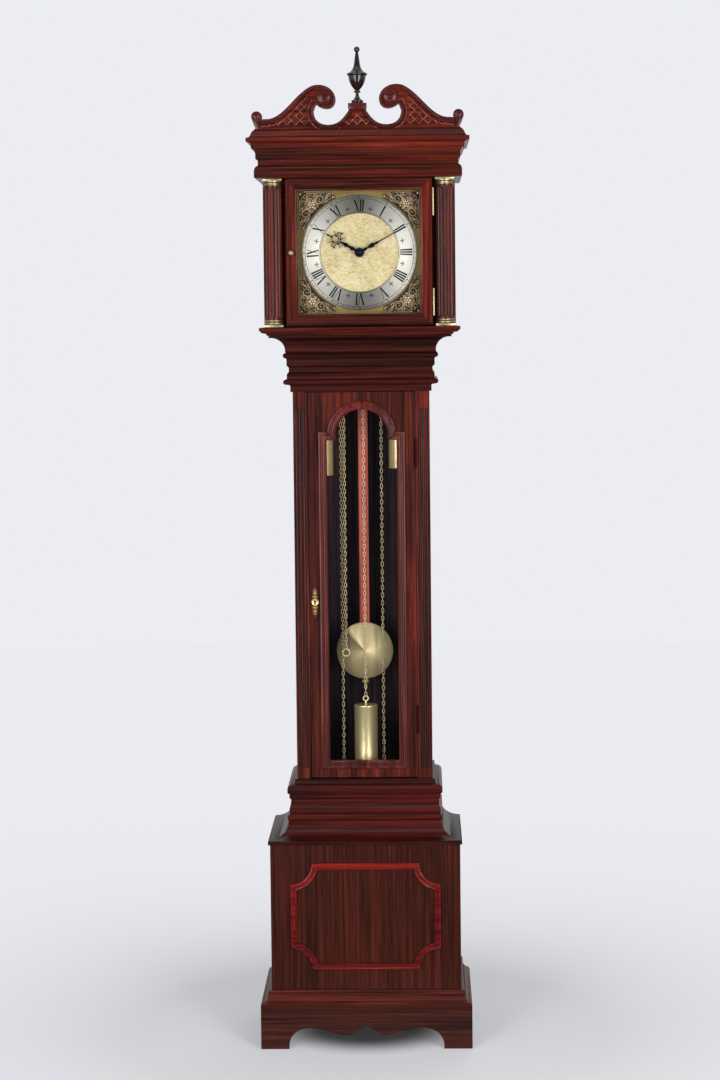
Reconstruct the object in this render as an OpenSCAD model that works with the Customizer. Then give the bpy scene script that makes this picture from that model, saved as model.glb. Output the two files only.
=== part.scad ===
// Longcase clock: base on bracket feet, glazed trunk, hood with dial, three-train chain movement.
// X is the width, the front faces -Y and the back lies against a wall. Z = 0 is the floor.

/* [Overall] */
// Height to the tip of the finial
total_h = 2040; // [1800:5:2300]
// Depth from the wall to the front of the cornice
total_d = 284; // [240:1:320]
// Thickness of the case boards
board = 18; // [12:1:25]

/* [Plinth and base] */
// Width over the bracket feet
plinth_w = 434; // [380:1:500]
// Height of the plinth boards
plinth_h = 92; // [60:1:130]
// Width of the base box
base_w = 390; // [340:1:460]
// Height of the top of the base box
base_top = 420; // [350:1:500]
// Width of the applied panel moulding
panel_w = 309; // [250:1:350]
// Radius of the notched corners of the panel moulding
panel_notch = 44; // [20:1:60]

/* [Trunk] */
// Width of the trunk
trunk_w = 280; // [240:1:330]
// Depth of the trunk
trunk_d = 200; // [160:1:240]
// Bottom of the trunk door
door_z0 = 548.5; // [500:0.5:600]
// Top of the trunk door
door_z1 = 1346; // [1250:0.5:1400]
// Half the width of the trunk door
door_hw = 109.5; // [90:0.5:115]
// Half the width of the trunk glass that shows
light_hw = 71.5; // [50:0.5:80]
// Bottom of the trunk glass that shows
light_z0 = 585; // [560:1:620]
// Height where the arch shoulders stand
light_z1 = 1247; // [1150:1:1280]
// Radius of the arch over the trunk glass
light_arch = 53.5; // [40:0.5:65]
// Width of the glazing moulding
bead_w = 17.5; // [10:0.5:25]

/* [Hood] */
// Width over the hood sides and columns
hood_w = 390; // [340:1:440]
// Top of the throat moulding, where the hood rests
throat_top = 1462; // [1400:1:1500]
// Floor of the hood above its base moulding
hood_z0 = 1479; // [1450:1:1520]
// Underside of the cornice
hood_z1 = 1779; // [1700:1:1820]
// Top of the cornice
cornice_top = 1876; // [1800:1:1920]
// Radius of the hood columns
column_r = 18; // [12:0.5:24]
// Distance of each column from the middle
column_x = 174; // [150:1:180]
// Half the width of the hood door
hood_door_hw = 148.5; // [130:0.5:152]
// Half the side of the square dial opening
sight = 124.5; // [100:0.5:130]

/* [Dial and hands] */
// Height of the dial centre
dial_z = 1630; // [1600:1:1660]
// Outer radius of the chapter ring
ring_r = 117.5; // [100:0.5:120]
// Inner radius of the chapter ring
ring_in = 80; // [60:0.5:90]
// Length of the minute hand
minute_len = 108; // [80:1:112]
// Length of the hour hand
hour_len = 81; // [50:1:85]

/* [Movement] */
// Height of the chain sprockets
sprocket_z = 1545; // [1530:1:1560]
// Radius at which the chains hang
pitch_r = 20; // [15:0.5:24]
// Height of the pendulum's hanging point
pivot_z = 1690; // [1670:1:1700]
// Height of the middle of the bob
bob_z = 797; // [760:1:830]
// Radius of the bob
bob_r = 60; // [50:1:70]
// Radius of a weight
weight_r = 24; // [18:0.5:30]
// Length of a weight without its hook
weight_len = 178; // [120:1:220]

/* [Hidden] */
wall = total_d / 2;
trunk_hw = trunk_w / 2;
base_hw = base_w / 2;
hood_hw = hood_w / 2;
plinth_hw = plinth_w / 2;
trunk_front = wall - trunk_d;
base_front_y = front(base_hw);
hood_front = front(hood_hw);
hood_side_y = hood_front + 49;
mask_y = hood_side_y - 9.5;
hood_door_y = hood_front + 13;
dial_y = hood_side_y + 4;
column_y = hood_front + 19;
cornice_hw = 207;
seat_z = 1480;
plate_z = seat_z + board;
plate_top = 1705;
pillar_z = plate_z + 8;
front_plate_y = -25;
back_plate_y = 47;
plate_t = 3;
rod_y0 = 60;
rod_y1 = 68;
// One chain each: [sprocket X, chain Y, side of the weight, weight bottom, chain end height]
left_train = [-65, 14, -1, 1171, 141];
centre_train = [-18, 4, 1, 512.5, 800];
right_train = [59, 14, 1, 1185, 127];
trains = [left_train, centre_train, right_train];
wood = [0.36, 0.09, 0.06];
dark_wood = [0.25, 0.07, 0.05];
red_wood = [0.5, 0.07, 0.06];
inner_wood = [0.45, 0.3, 0.18];
brass = [0.78, 0.62, 0.3];
silver = [0.78, 0.77, 0.73];
black = [0.05, 0.05, 0.08];
pane = [0.8, 0.88, 0.9, 0.3];

// Every moulding and board stands as far forward as it stands out at the sides.
function front(hw) = wall - trunk_d - (hw - trunk_hw);

// Arc of an ellipse about [cx, cz], from angle a0 to a1.
function arc(cx, cz, rx, rz, a0, a1, n = 8) =
    [for (i = [0:n]) [cx + rx * cos(a0 + (a1 - a0) * i / n), cz + rz * sin(a0 + (a1 - a0) * i / n)]];

// Cubic curve from a to d.
function curve(a, b, c, d, n = 8) =
    [for (i = [0:n]) let (t = i / n, u = 1 - t)
        u * u * u * a + 3 * u * u * t * b + 3 * u * t * t * c + t * t * t * d];

function flip(p) = [for (i = [len(p) - 1:-1:0]) [-p[i][0], p[i][1]]];

// The same outline on both sides of the middle.
module both_sides(p) {
    polygon(concat(p, flip(p)));
}

// A shape drawn in X and Z, from y0 to y1.
module slab(y0, y1) {
    translate([0, y1, 0])
        rotate([90, 0, 0])
            linear_extrude(y1 - y0)
                children();
}

// A shape drawn in Y and Z, from x0 to x1.
module side_slab(x0, x1) {
    translate([x0, 0, 0])
        rotate([90, 0, 90])
            linear_extrude(x1 - x0)
                children();
}

module block(x0, x1, y0, y1, z0, z1) {
    translate([x0, y0, z0])
        cube([x1 - x0, y1 - y0, z1 - z0]);
}

module rod_y(x, z, r, y0, y1, fn = 48) {
    translate([x, y1, z])
        rotate([90, 0, 0])
            cylinder(r = r, h = y1 - y0, $fn = fn);
}

// A moulding mitred round the front and both sides. p lists [half width, z] from the bottom up.
// It is open at the back, and hollow over the half width in_hw behind in_y.
module mitred(p, in_hw, in_y) {
    z0 = p[0][1];
    z1 = p[len(p) - 1][1];
    fronts = [for (q = p) [front(q[0]), q[1]]];
    difference() {
        intersection() {
            slab(-wall - 50, wall)
                both_sides(p);
            side_slab(-plinth_w, plinth_w)
                polygon(concat(fronts, [[wall, z1], [wall, z0]]));
        }
        block(-in_hw, in_hw, in_y, wall + 1, z0 - 1, z1 + 1);
    }
}

// Half of the bracket outline that is cut from the front of the plinth.
function apron() = concat(
    [[0, -1], [159, -1]],
    curve([159, 8], [158, 30], [140, 43.6], [117, 43.6]),
    curve([117, 43.6], [80, 43.6], [70, 29], [41, 29]),
    curve([41, 29], [22, 29], [14, 44], [0, 48])
);

module plinth_frame() {
    side_gap = concat([[-80, -1], [90, -1]], curve([90, 8], [89, 30], [75, 42], [50, 42]),
        curve([-40, 42], [-65, 42], [-79, 30], [-80, 8]));
    color(wood)
        difference() {
            block(-plinth_hw, plinth_hw, front(plinth_hw), wall, 0, plinth_h);
            block(-base_hw, base_hw, base_front_y, wall + 1, -1, plinth_h + 1);
            slab(-wall - 1, base_front_y + 1)
                both_sides(apron());
            side_slab(-plinth_w, plinth_w)
                polygon(side_gap);
        }
}

module plinth_moulding() {
    z0 = plinth_h;
    p = concat([[215, z0], [215, z0 + 3]], arc(215, z0 + 16, 13, 13, 270, 180),
        [[202, z0 + 24], [200, z0 + 26]]);
    color(wood)
        mitred(p, base_hw, base_front_y);
}

module base_front() {
    color(dark_wood)
        block(-base_hw, base_hw, base_front_y, base_front_y + board, 52, base_top);
}

module base_side(s) {
    color(dark_wood)
        scale([s, 1, 1])
            block(base_hw - board, base_hw, base_front_y + board, wall, 52, base_top);
}

module base_left() {
    base_side(-1);
}

module base_right() {
    base_side(1);
}

module base_floor() {
    color(inner_wood)
        block(-base_hw + board, base_hw - board, base_front_y + board, wall - 12, 58, 70);
}

module panel_shape(inset) {
    difference() {
        translate([-panel_w / 2 + inset, 160 + inset])
            square([panel_w - 2 * inset, 222 - 2 * inset]);
        for (x = [-1, 1], z = [160, 382])
            translate([x * panel_w / 2, z])
                circle(r = panel_notch + inset, $fn = 64);
    }
}

module base_panel_moulding() {
    color(red_wood) {
        slab(base_front_y - 3, base_front_y)
            difference() {
                panel_shape(0);
                panel_shape(13.5);
            }
        slab(base_front_y - 6, base_front_y - 3)
            difference() {
                panel_shape(3);
                panel_shape(9.5);
            }
    }
}

module flare_moulding() {
    z = base_top;
    p = concat([[199, z], [199, z + 7.5]], arc(197, z + 38, 39, 29.5, 270, 180, 12),
        [[157.5, z + 41.5]], arc(154.7, z + 48.5, 5.6, 7, -90, 90),
        [[156, z + 58], [156, z + 68], [153, z + 72], [153, z + 86], [156, z + 89]],
        [[156, z + 97], [159, z + 99], [160, z + 101], [160, z + 108]],
        arc(147, z + 108, 13, 9, 0, 90), [[145, z + 120], [145, z + 126.5]]);
    color(wood)
        mitred(p, trunk_hw, trunk_front);
}

module trunk_side(s) {
    color(dark_wood)
        scale([s, 1, 1])
            block(trunk_hw - board, trunk_hw, trunk_front + board, wall - 12, 330, 1480);
}

module trunk_left() {
    trunk_side(-1);
}

module trunk_right() {
    trunk_side(1);
}

module back_board() {
    low = [base_hw - board, base_top - 2];
    hood = [hood_hw - board - 1, seat_z];
    p = [[low[0], 70], low, [trunk_hw, low[1]], [trunk_hw, seat_z], hood, [hood[0], 1776]];
    color(inner_wood)
        slab(wall - 12, wall)
            both_sides(p);
}

// Front post of the trunk with three stopped flutes.
module pilaster(s) {
    color(wood)
        scale([s, 1, 1])
            difference() {
                block(door_hw + 1.5, trunk_hw, trunk_front, trunk_front + board, 430, 1460);
                for (x = [119, 126.5, 134]) {
                    translate([x, trunk_front, 570])
                        cylinder(r = 2.5, h = 740, $fn = 16);
                    for (z = [570, 1310])
                        translate([x, trunk_front, z])
                            sphere(r = 2.5, $fn = 16);
                }
            }
}

module pilaster_left() {
    pilaster(-1);
}

module pilaster_right() {
    pilaster(1);
}

module throat_moulding() {
    z = 1347;
    p = concat([[144.5, z], [144.5, z + 13], [148, z + 14.5]], arc(152, z + 20.5, 6.5, 5.5, -90, 90),
        [[151, z + 27], [151, z + 37], [147, z + 41], [147, z + 50], [151.3, z + 54]],
        [[151.3, z + 66]], arc(152.5, z + 74.5, 6, 5.5, -90, 90), [[154, z + 82]],
        arc(182, z + 85, 28, 26, 180, 90, 12), [[185.5, z + 111], [185.5, throat_top]]);
    color(wood)
        mitred(p, trunk_hw, trunk_front);
}

module seat_board() {
    color(inner_wood)
        difference() {
            block(-trunk_hw, trunk_hw, -38, 90, seat_z, plate_z);
            for (t = trains, s = [-1, 1])
                translate([t[0] + s * pitch_r, t[1], seat_z - 10])
                    cylinder(r = 6, h = 40, $fn = 32);
            block(-25, 25, rod_y0 - 6, rod_y1 + 6, seat_z - 1, plate_z + 1);
        }
}

module movement_plate(y0) {
    color(brass)
        difference() {
            block(-95, 95, y0, y0 + plate_t, plate_z, plate_top);
            for (t = trains)
                rod_y(t[0], sprocket_z, 3.05, y0 - 1, y0 + 4);
            rod_y(0, dial_z, 3.05, y0 - 1, y0 + 4);
            rod_y(0, pivot_z, 2.55, y0 - 1, y0 + 4);
        }
}

module front_plate() {
    movement_plate(front_plate_y);
    color(brass)
        for (p = [[left_train[0], pillar_z], [right_train[0], pillar_z], [-87, 1697], [87, 1697]])
            rod_y(p[0], p[1], 5, front_plate_y + plate_t, back_plate_y, 32);
}

module back_plate() {
    movement_plate(back_plate_y);
}

module dial_plate() {
    color(brass) {
        difference() {
            union() {
                block(-130, 130, dial_y, dial_y + 2.5, dial_z - 130, dial_z + 130);
                rod_y(0, dial_z, ring_in - 0.5, dial_y - 1, dial_y, 96);
            }
            rod_y(0, dial_z, 6, dial_y - 2, dial_y + 3);
        }
        for (x = [-62, 62], z = [dial_z - 62, dial_z + 62])
            rod_y(x, z, 4, dial_y + 2.5, front_plate_y, 32);
    }
}

module chapter_ring() {
    color(silver)
        difference() {
            rod_y(0, dial_z, ring_r, dial_y - 3, dial_y, 128);
            rod_y(0, dial_z, ring_in, dial_y - 4, dial_y + 1, 128);
        }
}

// Cast scrollwork in each corner of the dial plate.
module spandrels() {
    color(brass)
        for (sx = [-1, 1], sz = [-1, 1])
            slab(dial_y - 2.5, dial_y)
                translate([0, dial_z])
                    scale([sx, sz])
                        difference() {
                            translate([46, 46])
                                square(77);
                            circle(r = ring_r + 1, $fn = 96);
                            for (a = [32, 58])
                                translate([(ring_r + 17) * cos(a), (ring_r + 17) * sin(a)])
                                    circle(r = 4, $fn = 24);
                        }
}

module suspension_cock() {
    color(brass)
        block(-14, 14, 50, 74, pivot_z + 12, pivot_z + 15);
}

module hood_sill() {
    z = throat_top + 0.4;
    p = concat([[188, z], [190, z + 4]], arc(191, z + 9.5, 10, 5, -90, 0), [[203.5, z + 10]],
        [[203.5, z + 15.5], [202, hood_z0]]);
    color(wood)
        mitred(p, trunk_hw + 1, trunk_front + 2);
}

module hood_side(s) {
    color(dark_wood)
        scale([s, 1, 1])
            block(hood_hw - board, hood_hw, hood_side_y, wall, hood_z0, hood_z1);
}

module hood_left() {
    hood_side(-1);
}

module hood_right() {
    hood_side(1);
}

module hood_mask() {
    color(dark_wood)
        difference() {
            block(-hood_hw, hood_hw, mask_y, hood_side_y, hood_z0, hood_z1);
            block(-126, 126, mask_y - 1, hood_side_y + 1, dial_z - 126, dial_z + 126);
        }
}

module hood_roof() {
    color(inner_wood)
        block(-177, 177, hood_front + board, wall, hood_z1, hood_z1 + 12);
}

module cornice() {
    z = hood_z1;
    p = concat([[207, z], [209, z + 1.5], [209, z + 12]], arc(201.5, z + 13, 7.5, 12, 0, 90),
        [[201.5, z + 36], [206, z + 39], [206, z + 47]], arc(214, z + 47, 8, 12, 180, 90),
        [[214.5, z + 68], [217, z + 70], [220, z + 72], [224, z + 73], [224, z + 80]],
        curve([219, z + 81], [212, z + 86], [217, z + 90], [cornice_hw, cornice_top], 6));
    color(wood)
        mitred(p, hood_hw - board, hood_front + board);
}

// Half of the scrolled top, from the outer end to the pedestal in the middle.
function swan_neck() = concat(
    [[cornice_hw, cornice_top], [200, 1885], [195, 1896]],
    curve([187, 1897], [150, 1893], [128, 1945], [92, 1961.5], 14),
    curve([92, 1961.5], [75, 1968], [50, 1962], [44, 1940], 10),
    curve([44, 1940], [40, 1917], [62, 1908], [83, 1925], 10),
    curve([88, 1912], [88, 1893], [75, 1884], [58, 1884], 8),
    curve([58, 1884], [36, 1884], [26, 1900], [17, 1913], 8),
    [[18.5, 1917], [18.5, 1927]]
);

module pediment_shape() {
    both_sides(swan_neck());
    for (s = [-1, 1])
        translate([s * 203, 1902])
            circle(r = 10, $fn = 48);
}

module pediment() {
    y0 = front(cornice_hw) + 2;
    color(wood) {
        slab(y0, y0 + 20)
            pediment_shape();
        slab(y0 - 4, y0)
            difference() {
                pediment_shape();
                offset(r = -7)
                    pediment_shape();
            }
    }
}

module finial() {
    y = front(cornice_hw) + 12;
    profile = concat([[0, 1927], [12, 1927], [12, 1931], [9, 1934]],
        curve([5, 1938], [3, 1944], [3, 1947], [5, 1950]), [[6, 1952], [5, 1954]],
        curve([8, 1955], [16, 1962], [18.5, 1972], [17.5, 1982]),
        [[20.8, 1984], [20.8, 1987], [17, 1990]],
        curve([12, 1993], [5, 1998], [4, 2008], [2.8, 2028]),
        arc(0, total_h - 6, 6, 6, -60, 90, 10));
    color(dark_wood)
        translate([0, y, 0])
            rotate_extrude($fn = 48)
                polygon(profile);
}

module column(s) {
    color(wood)
        translate([s * column_x, column_y, 0])
            difference() {
                translate([0, 0, 1495])
                    cylinder(r = column_r, h = 269, $fn = 64);
                for (a = [0:22.5:359])
                    rotate([0, 0, a])
                        translate([column_r + 0.4, 0, 1508])
                            cylinder(r = 2, h = 232, $fn = 12);
            }
}

module column_left() {
    column(-1);
}

module column_right() {
    column(1);
}

// Turned brass bases and capitals of both columns.
module column_brasses() {
    base_ring = concat([[0, 1485], [19.5, 1485]], arc(17.5, 1488.5, 2.5, 2.5, -60, 80),
        [[17.5, 1491.5], [18.8, 1492], [18.8, 1494], [17, 1495], [0, 1495]]);
    cap_ring = concat([[0, 1764], [18.8, 1764], [18.8, 1766.5], [17.2, 1767], [17.2, 1769]],
        arc(17.2, 1774.5, 2.6, 5, -90, 0), [[0, 1774.5]]);
    color(brass)
        for (s = [-1, 1])
            translate([s * column_x, column_y, 0]) {
                block(-20, 20, -20, 20, hood_z0, 1485);
                block(-20, 20, -20, 20, 1774.5, hood_z1);
                rotate_extrude($fn = 64)
                    polygon(base_ring);
                rotate_extrude($fn = 64)
                    polygon(cap_ring);
            }
}

module hood_door_frame() {
    z0 = hood_z0 + 1.5;
    z1 = hood_z1 - 1.5;
    y = hood_door_y;
    color(wood)
        difference() {
            block(-hood_door_hw, hood_door_hw, y, y + 20, z0, z1);
            block(-sight, sight, y - 1, y + 21, dial_z - sight, dial_z + sight);
            block(-sight - 4, sight + 4, y + 12, y + 21, dial_z - sight - 4, dial_z + sight + 4);
        }
}

module hood_door_glass() {
    y = hood_door_y + 12;
    s = sight + 3.5;
    color(pane)
        block(-s, s, y, y + 3, dial_z - s, dial_z + s);
}

module hood_door_knob() {
    color(brass)
        translate([-137.5, hood_door_y, dial_z - 1])
            rotate([90, 0, 0])
                rotate_extrude($fn = 40)
                    polygon(concat([[0, 0], [5, 0], [5, 1], [2.4, 2], [2.4, 6]],
                        arc(0, 10, 6, 4.5, -50, 90, 10)));
}

// A hinge's knuckles on their pin, in front of the joint between door and case.
module knuckles(x, y, z, h) {
    for (i = [0:2])
        translate([x, y, z + i * h / 3 + 0.2])
            cylinder(r = 2.2, h = h / 3 - 0.4, $fn = 32);
    translate([x, y, z])
        cylinder(r = 1.2, h = h, $fn = 24);
}

module hood_door_hinges() {
    color(brass)
        for (z = [1500, 1702])
            knuckles(hood_door_hw + 2, hood_door_y - 2.4, z, 56);
}

// Outline of the arched light in the trunk door, grown by d.
module light_shape(d) {
    translate([-light_hw - d, light_z0 - d])
        square([2 * (light_hw + d), light_z1 - light_z0 + 2 * d]);
    translate([0, light_z1 + 10])
        circle(r = light_arch + d, $fn = 96);
}

module trunk_door_frame() {
    color(wood)
        slab(trunk_front, trunk_front + 20)
            difference() {
                translate([-door_hw, door_z0])
                    square([2 * door_hw, door_z1 - door_z0]);
                light_shape(6);
            }
}

module trunk_door_moulding() {
    y = trunk_front;
    color(red_wood) {
        slab(y - 3, y)
            difference() {
                light_shape(bead_w);
                light_shape(0);
            }
        slab(y - 5, y - 3)
            difference() {
                light_shape(bead_w - 5);
                light_shape(3);
            }
        slab(y, y + 8)
            difference() {
                light_shape(5.9);
                light_shape(0);
            }
    }
}

module trunk_door_glass() {
    color(pane)
        slab(trunk_front + 8, trunk_front + 11)
            light_shape(5.5);
}

module escutcheon() {
    y = trunk_front - 1.5;
    color(brass)
        translate([-99, 0, 914]) {
            rod_y(0, 0, 8, y - 1.5, trunk_front);
            slab(y, trunk_front)
                for (s = [-1, 1]) {
                    translate([0, s * 28])
                        circle(r = 3.5, $fn = 24);
                    for (d = [14, 21])
                        translate([0, s * d])
                            scale([1, 0.6])
                                circle(r = 7, $fn = 24);
                    translate([-1.5, -29 * (1 - s) / 2])
                        square([3, 29]);
                }
        }
}

module trunk_door_hinges() {
    color(dark_wood)
        for (z = [640, 1190])
            knuckles(door_hw + 1, trunk_front - 2.8, z, 60);
}

// Hands lie flat, pointing up, and are then turned clockwise by the angle a.
module hand_place(a) {
    translate([0, 0, dial_z])
        rotate([0, a, 0])
            children();
}

module minute_hand() {
    y = dial_y - 13;
    color(black) {
        hand_place(61.5)
            slab(y, y + 1.5) {
                circle(r = 9, $fn = 40);
                polygon([[-2.2, 0], [-1.9, 26], [-3.8, 34], [-1.4, 44], [-0.5, minute_len],
                    [0.5, minute_len], [1.4, 44], [3.8, 34], [1.9, 26], [2.2, 0]]);
            }
        rod_y(0, dial_z, 3, y, 49.9);
    }
}

module hour_hand() {
    y = dial_y - 9;
    color(black) {
        difference() {
            union() {
                hand_place(299.5)
                    slab(y, y + 1.5) {
                        circle(r = 10, $fn = 40);
                        polygon([[-2.5, 0], [-2, 30], [-1.2, hour_len], [1.2, hour_len], [2, 30],
                            [2.5, 0]]);
                        difference() {
                            translate([0, 40])
                                circle(r = 10, $fn = 40);
                            for (s = [-1, 1])
                                translate([s * 5.2, 40])
                                    circle(r = 3, $fn = 24);
                        }
                        translate([0, 57])
                            scale([1, 0.5])
                                circle(r = 8, $fn = 32);
                    }
                rod_y(0, dial_z, 5.4, y, -31);
                rod_y(0, dial_z, 22, -33, -31, 64);
            }
            rod_y(0, dial_z, 3.06, y - 1, -30);
        }
    }
}

// Domed nut that holds the hands.
module hand_nut() {
    dome = concat([[0, 0], [8.5, 0], [8.5, 1.5]], arc(0, 1.5, 8, 6, 0, 90, 8));
    color(black)
        translate([0, dial_y - 13, dial_z])
            rotate([90, 0, 0])
                rotate_extrude($fn = 48)
                    polygon(dome);
}

module pendulum_rod() {
    color(red_wood)
        block(-10, 10, rod_y0, rod_y1, 745, 1655);
    color(brass) {
        block(-7, 7, rod_y0 - 1, rod_y1 + 1, 1655, 1664);
        block(-5, 5, 63.6, 64.4, 1664, pivot_z + 11);
        translate([0, 64, 715])
            cylinder(r = 2, h = 30, $fn = 24);
    }
}

module pendulum_bob() {
    face = concat([[0, 0], [bob_r - 1, 0], [bob_r, 1.5]],
        curve([bob_r - 1, 4], [40, 9], [20, 12], [0, 12]));
    color(brass)
        translate([0, rod_y0, bob_z])
            rotate([90, 0, 0])
                rotate_extrude($fn = 96)
                    polygon(face);
}

module rating_nut() {
    color(brass)
        translate([0, 64, 727])
            difference() {
                cylinder(r = 8, h = 8, $fn = 40);
                translate([0, 0, -1])
                    cylinder(r = 2, h = 10, $fn = 24);
            }
}

// Pallets between the plates, and behind them the crutch with its fork round the rod.
module anchor() {
    color(brass) {
        rod_y(0, pivot_z, 2.5, -24.9, 56);
        slab(8, 11)
            difference() {
                translate([0, pivot_z])
                    circle(r = 26, $fn = 48);
                translate([0, pivot_z - 9])
                    circle(r = 24, $fn = 48);
                translate([-40, pivot_z - 40])
                    square([80, 30]);
                translate([0, pivot_z])
                    circle(r = 2.4, $fn = 24);
            }
        slab(8, 11)
            translate([-3, pivot_z])
                square([6, 20]);
        block(-3, 3, 52.5, 56, 1600, pivot_z);
        block(-13.5, 13.5, 52.5, 56, 1600, 1606);
        for (s = [-1, 1])
            translate([s * 12, 0, 0])
                block(-1.5, 1.5, 56, 71, 1600, 1606);
    }
}

module weight(t) {
    x = t[0] + t[2] * pitch_r;
    z = t[3];
    color(brass)
        translate([x, t[1], z]) {
            translate([0, 0, 3])
                cylinder(r = weight_r, h = weight_len - 6, $fn = 96);
            for (k = [0, weight_len - 3])
                translate([0, 0, k])
                    cylinder(r = weight_r + 0.5, h = 3, $fn = 96);
            translate([0, 0, weight_len])
                cylinder(r = 2, h = 9, $fn = 24);
            translate([0, 0, weight_len + 13])
                rotate([90, 0, 0])
                    rotate_extrude($fn = 32)
                        translate([5, 0])
                            circle(r = 1.5, $fn = 16);
        }
}

module weight_left() {
    weight(left_train);
}

module weight_centre() {
    weight(centre_train);
}

module weight_right() {
    weight(right_train);
}

// Both strands of a chain and the half turn over its sprocket, as one round bar.
module chain(t) {
    top = t[3] + weight_len + 20;
    color(brass)
        translate([t[0], t[1], 0]) {
            translate([t[2] * pitch_r, 0, top])
                cylinder(r = 2.6, h = sprocket_z - top, $fn = 20);
            translate([-t[2] * pitch_r, 0, t[4] + 10])
                cylinder(r = 2.6, h = sprocket_z - t[4] - 10, $fn = 20);
            translate([0, 0, sprocket_z])
                rotate([90, 0, 0])
                    rotate_extrude(angle = 180, $fn = 64)
                        translate([pitch_r, 0])
                            circle(r = 2.6, $fn = 20);
        }
}

module chain_left() {
    chain(left_train);
}

module chain_centre() {
    chain(centre_train);
}

module chain_right() {
    chain(right_train);
}

module chain_end(t) {
    color(brass)
        translate([t[0] - t[2] * pitch_r, t[1], t[4]])
            rotate([90, 0, 0])
                rotate_extrude($fn = 40)
                    translate([7.5, 0])
                        circle(r = 1.6, $fn = 16);
}

module chain_end_left() {
    chain_end(left_train);
}

module chain_end_centre() {
    chain_end(centre_train);
}

module chain_end_right() {
    chain_end(right_train);
}

// Sprocket, flanges and toothed great wheel on one arbor between the plates.
module great_wheel(t, y_wheel) {
    teeth = 60;
    tooth = [for (i = [0:teeth - 1], k = [[0, 28], [0.25, 30], [0.5, 30], [0.75, 28]])
        [k[1] * cos((i + k[0]) * 360 / teeth), k[1] * sin((i + k[0]) * 360 / teeth)]];
    color(brass)
        translate([t[0], 0, sprocket_z]) {
            rod_y(0, 0, 3, -24.9, 49.9);
            rod_y(0, 0, pitch_r - 3, t[1] - 3.2, t[1] + 3.2, 64);
            for (y = [t[1] - 4.7, t[1] + 3.2])
                rod_y(0, 0, pitch_r + 2, y, y + 1.5, 64);
            slab(y_wheel, y_wheel + 2.5)
                difference() {
                    polygon(tooth);
                    for (a = [0:72:359])
                        rotate(a)
                            translate([15, 0])
                                circle(r = 6, $fn = 24);
                }
        }
}

module great_wheel_left() {
    great_wheel(left_train, 28);
}

module great_wheel_centre() {
    great_wheel(centre_train, -14);
}

module great_wheel_right() {
    great_wheel(right_train, 28);
}

plinth_frame();
plinth_moulding();
base_front();
base_left();
base_right();
base_floor();
base_panel_moulding();
flare_moulding();
trunk_left();
trunk_right();
back_board();
pilaster_left();
pilaster_right();
throat_moulding();
seat_board();
front_plate();
back_plate();
dial_plate();
chapter_ring();
spandrels();
suspension_cock();
hood_sill();
hood_left();
hood_right();
hood_mask();
hood_roof();
cornice();
pediment();
finial();
column_left();
column_right();
column_brasses();
hood_door_frame();
hood_door_glass();
hood_door_knob();
hood_door_hinges();
trunk_door_frame();
trunk_door_moulding();
trunk_door_glass();
escutcheon();
trunk_door_hinges();
minute_hand();
hour_hand();
hand_nut();
pendulum_rod();
pendulum_bob();
rating_nut();
anchor();
weight_left();
weight_centre();
weight_right();
chain_left();
chain_centre();
chain_right();
chain_end_left();
chain_end_centre();
chain_end_right();
great_wheel_left();
great_wheel_centre();
great_wheel_right();
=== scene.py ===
import itertools
import math
import random

import bmesh
import bpy
from mathutils import Matrix, Vector


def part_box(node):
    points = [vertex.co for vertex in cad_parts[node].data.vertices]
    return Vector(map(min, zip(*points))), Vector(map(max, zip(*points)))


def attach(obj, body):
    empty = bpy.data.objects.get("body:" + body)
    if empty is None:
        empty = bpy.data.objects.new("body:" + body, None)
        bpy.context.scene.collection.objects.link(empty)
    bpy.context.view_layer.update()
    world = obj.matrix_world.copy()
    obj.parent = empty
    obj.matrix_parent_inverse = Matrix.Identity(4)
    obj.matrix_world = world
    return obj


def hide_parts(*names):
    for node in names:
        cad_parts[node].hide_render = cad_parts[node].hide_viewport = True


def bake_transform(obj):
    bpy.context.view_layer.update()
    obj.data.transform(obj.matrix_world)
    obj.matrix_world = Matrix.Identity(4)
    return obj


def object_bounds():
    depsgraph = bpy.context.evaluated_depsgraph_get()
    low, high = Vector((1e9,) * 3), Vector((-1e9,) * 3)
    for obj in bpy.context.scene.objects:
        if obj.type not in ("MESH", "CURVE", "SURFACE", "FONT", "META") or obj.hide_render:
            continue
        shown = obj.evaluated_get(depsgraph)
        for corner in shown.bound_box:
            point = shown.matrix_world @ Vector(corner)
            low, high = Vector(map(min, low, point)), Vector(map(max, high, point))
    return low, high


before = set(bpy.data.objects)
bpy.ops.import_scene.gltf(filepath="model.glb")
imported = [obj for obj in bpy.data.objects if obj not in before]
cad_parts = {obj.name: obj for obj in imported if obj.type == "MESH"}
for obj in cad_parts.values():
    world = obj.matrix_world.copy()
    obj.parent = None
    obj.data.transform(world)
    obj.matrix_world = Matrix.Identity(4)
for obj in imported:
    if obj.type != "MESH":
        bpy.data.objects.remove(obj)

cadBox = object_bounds()
scene = bpy.context.scene
mm = 0.001
tau = 2 * math.pi

class Wire:
    # a node's value that can stand in ordinary sums
    def __init__(self, graph, socket):
        self.graph = graph
        self.socket = socket

    def maths(self, operation, first, second, clamp=False):
        return self.graph.node("ShaderNodeMath", {"operation": operation, "use_clamp": clamp},
                               {0: first, 1: second})

    def clamped(self):
        return self.maths("ADD", self, 0.0, clamp=True)

    def band(self, low, high):
        # 0 below low, 1 above high
        return self.graph.node("ShaderNodeMapRange", {"interpolation_type": "SMOOTHSTEP"},
                               {0: self, 1: low, 2: high, 3: 0.0, 4: 1.0})


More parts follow.
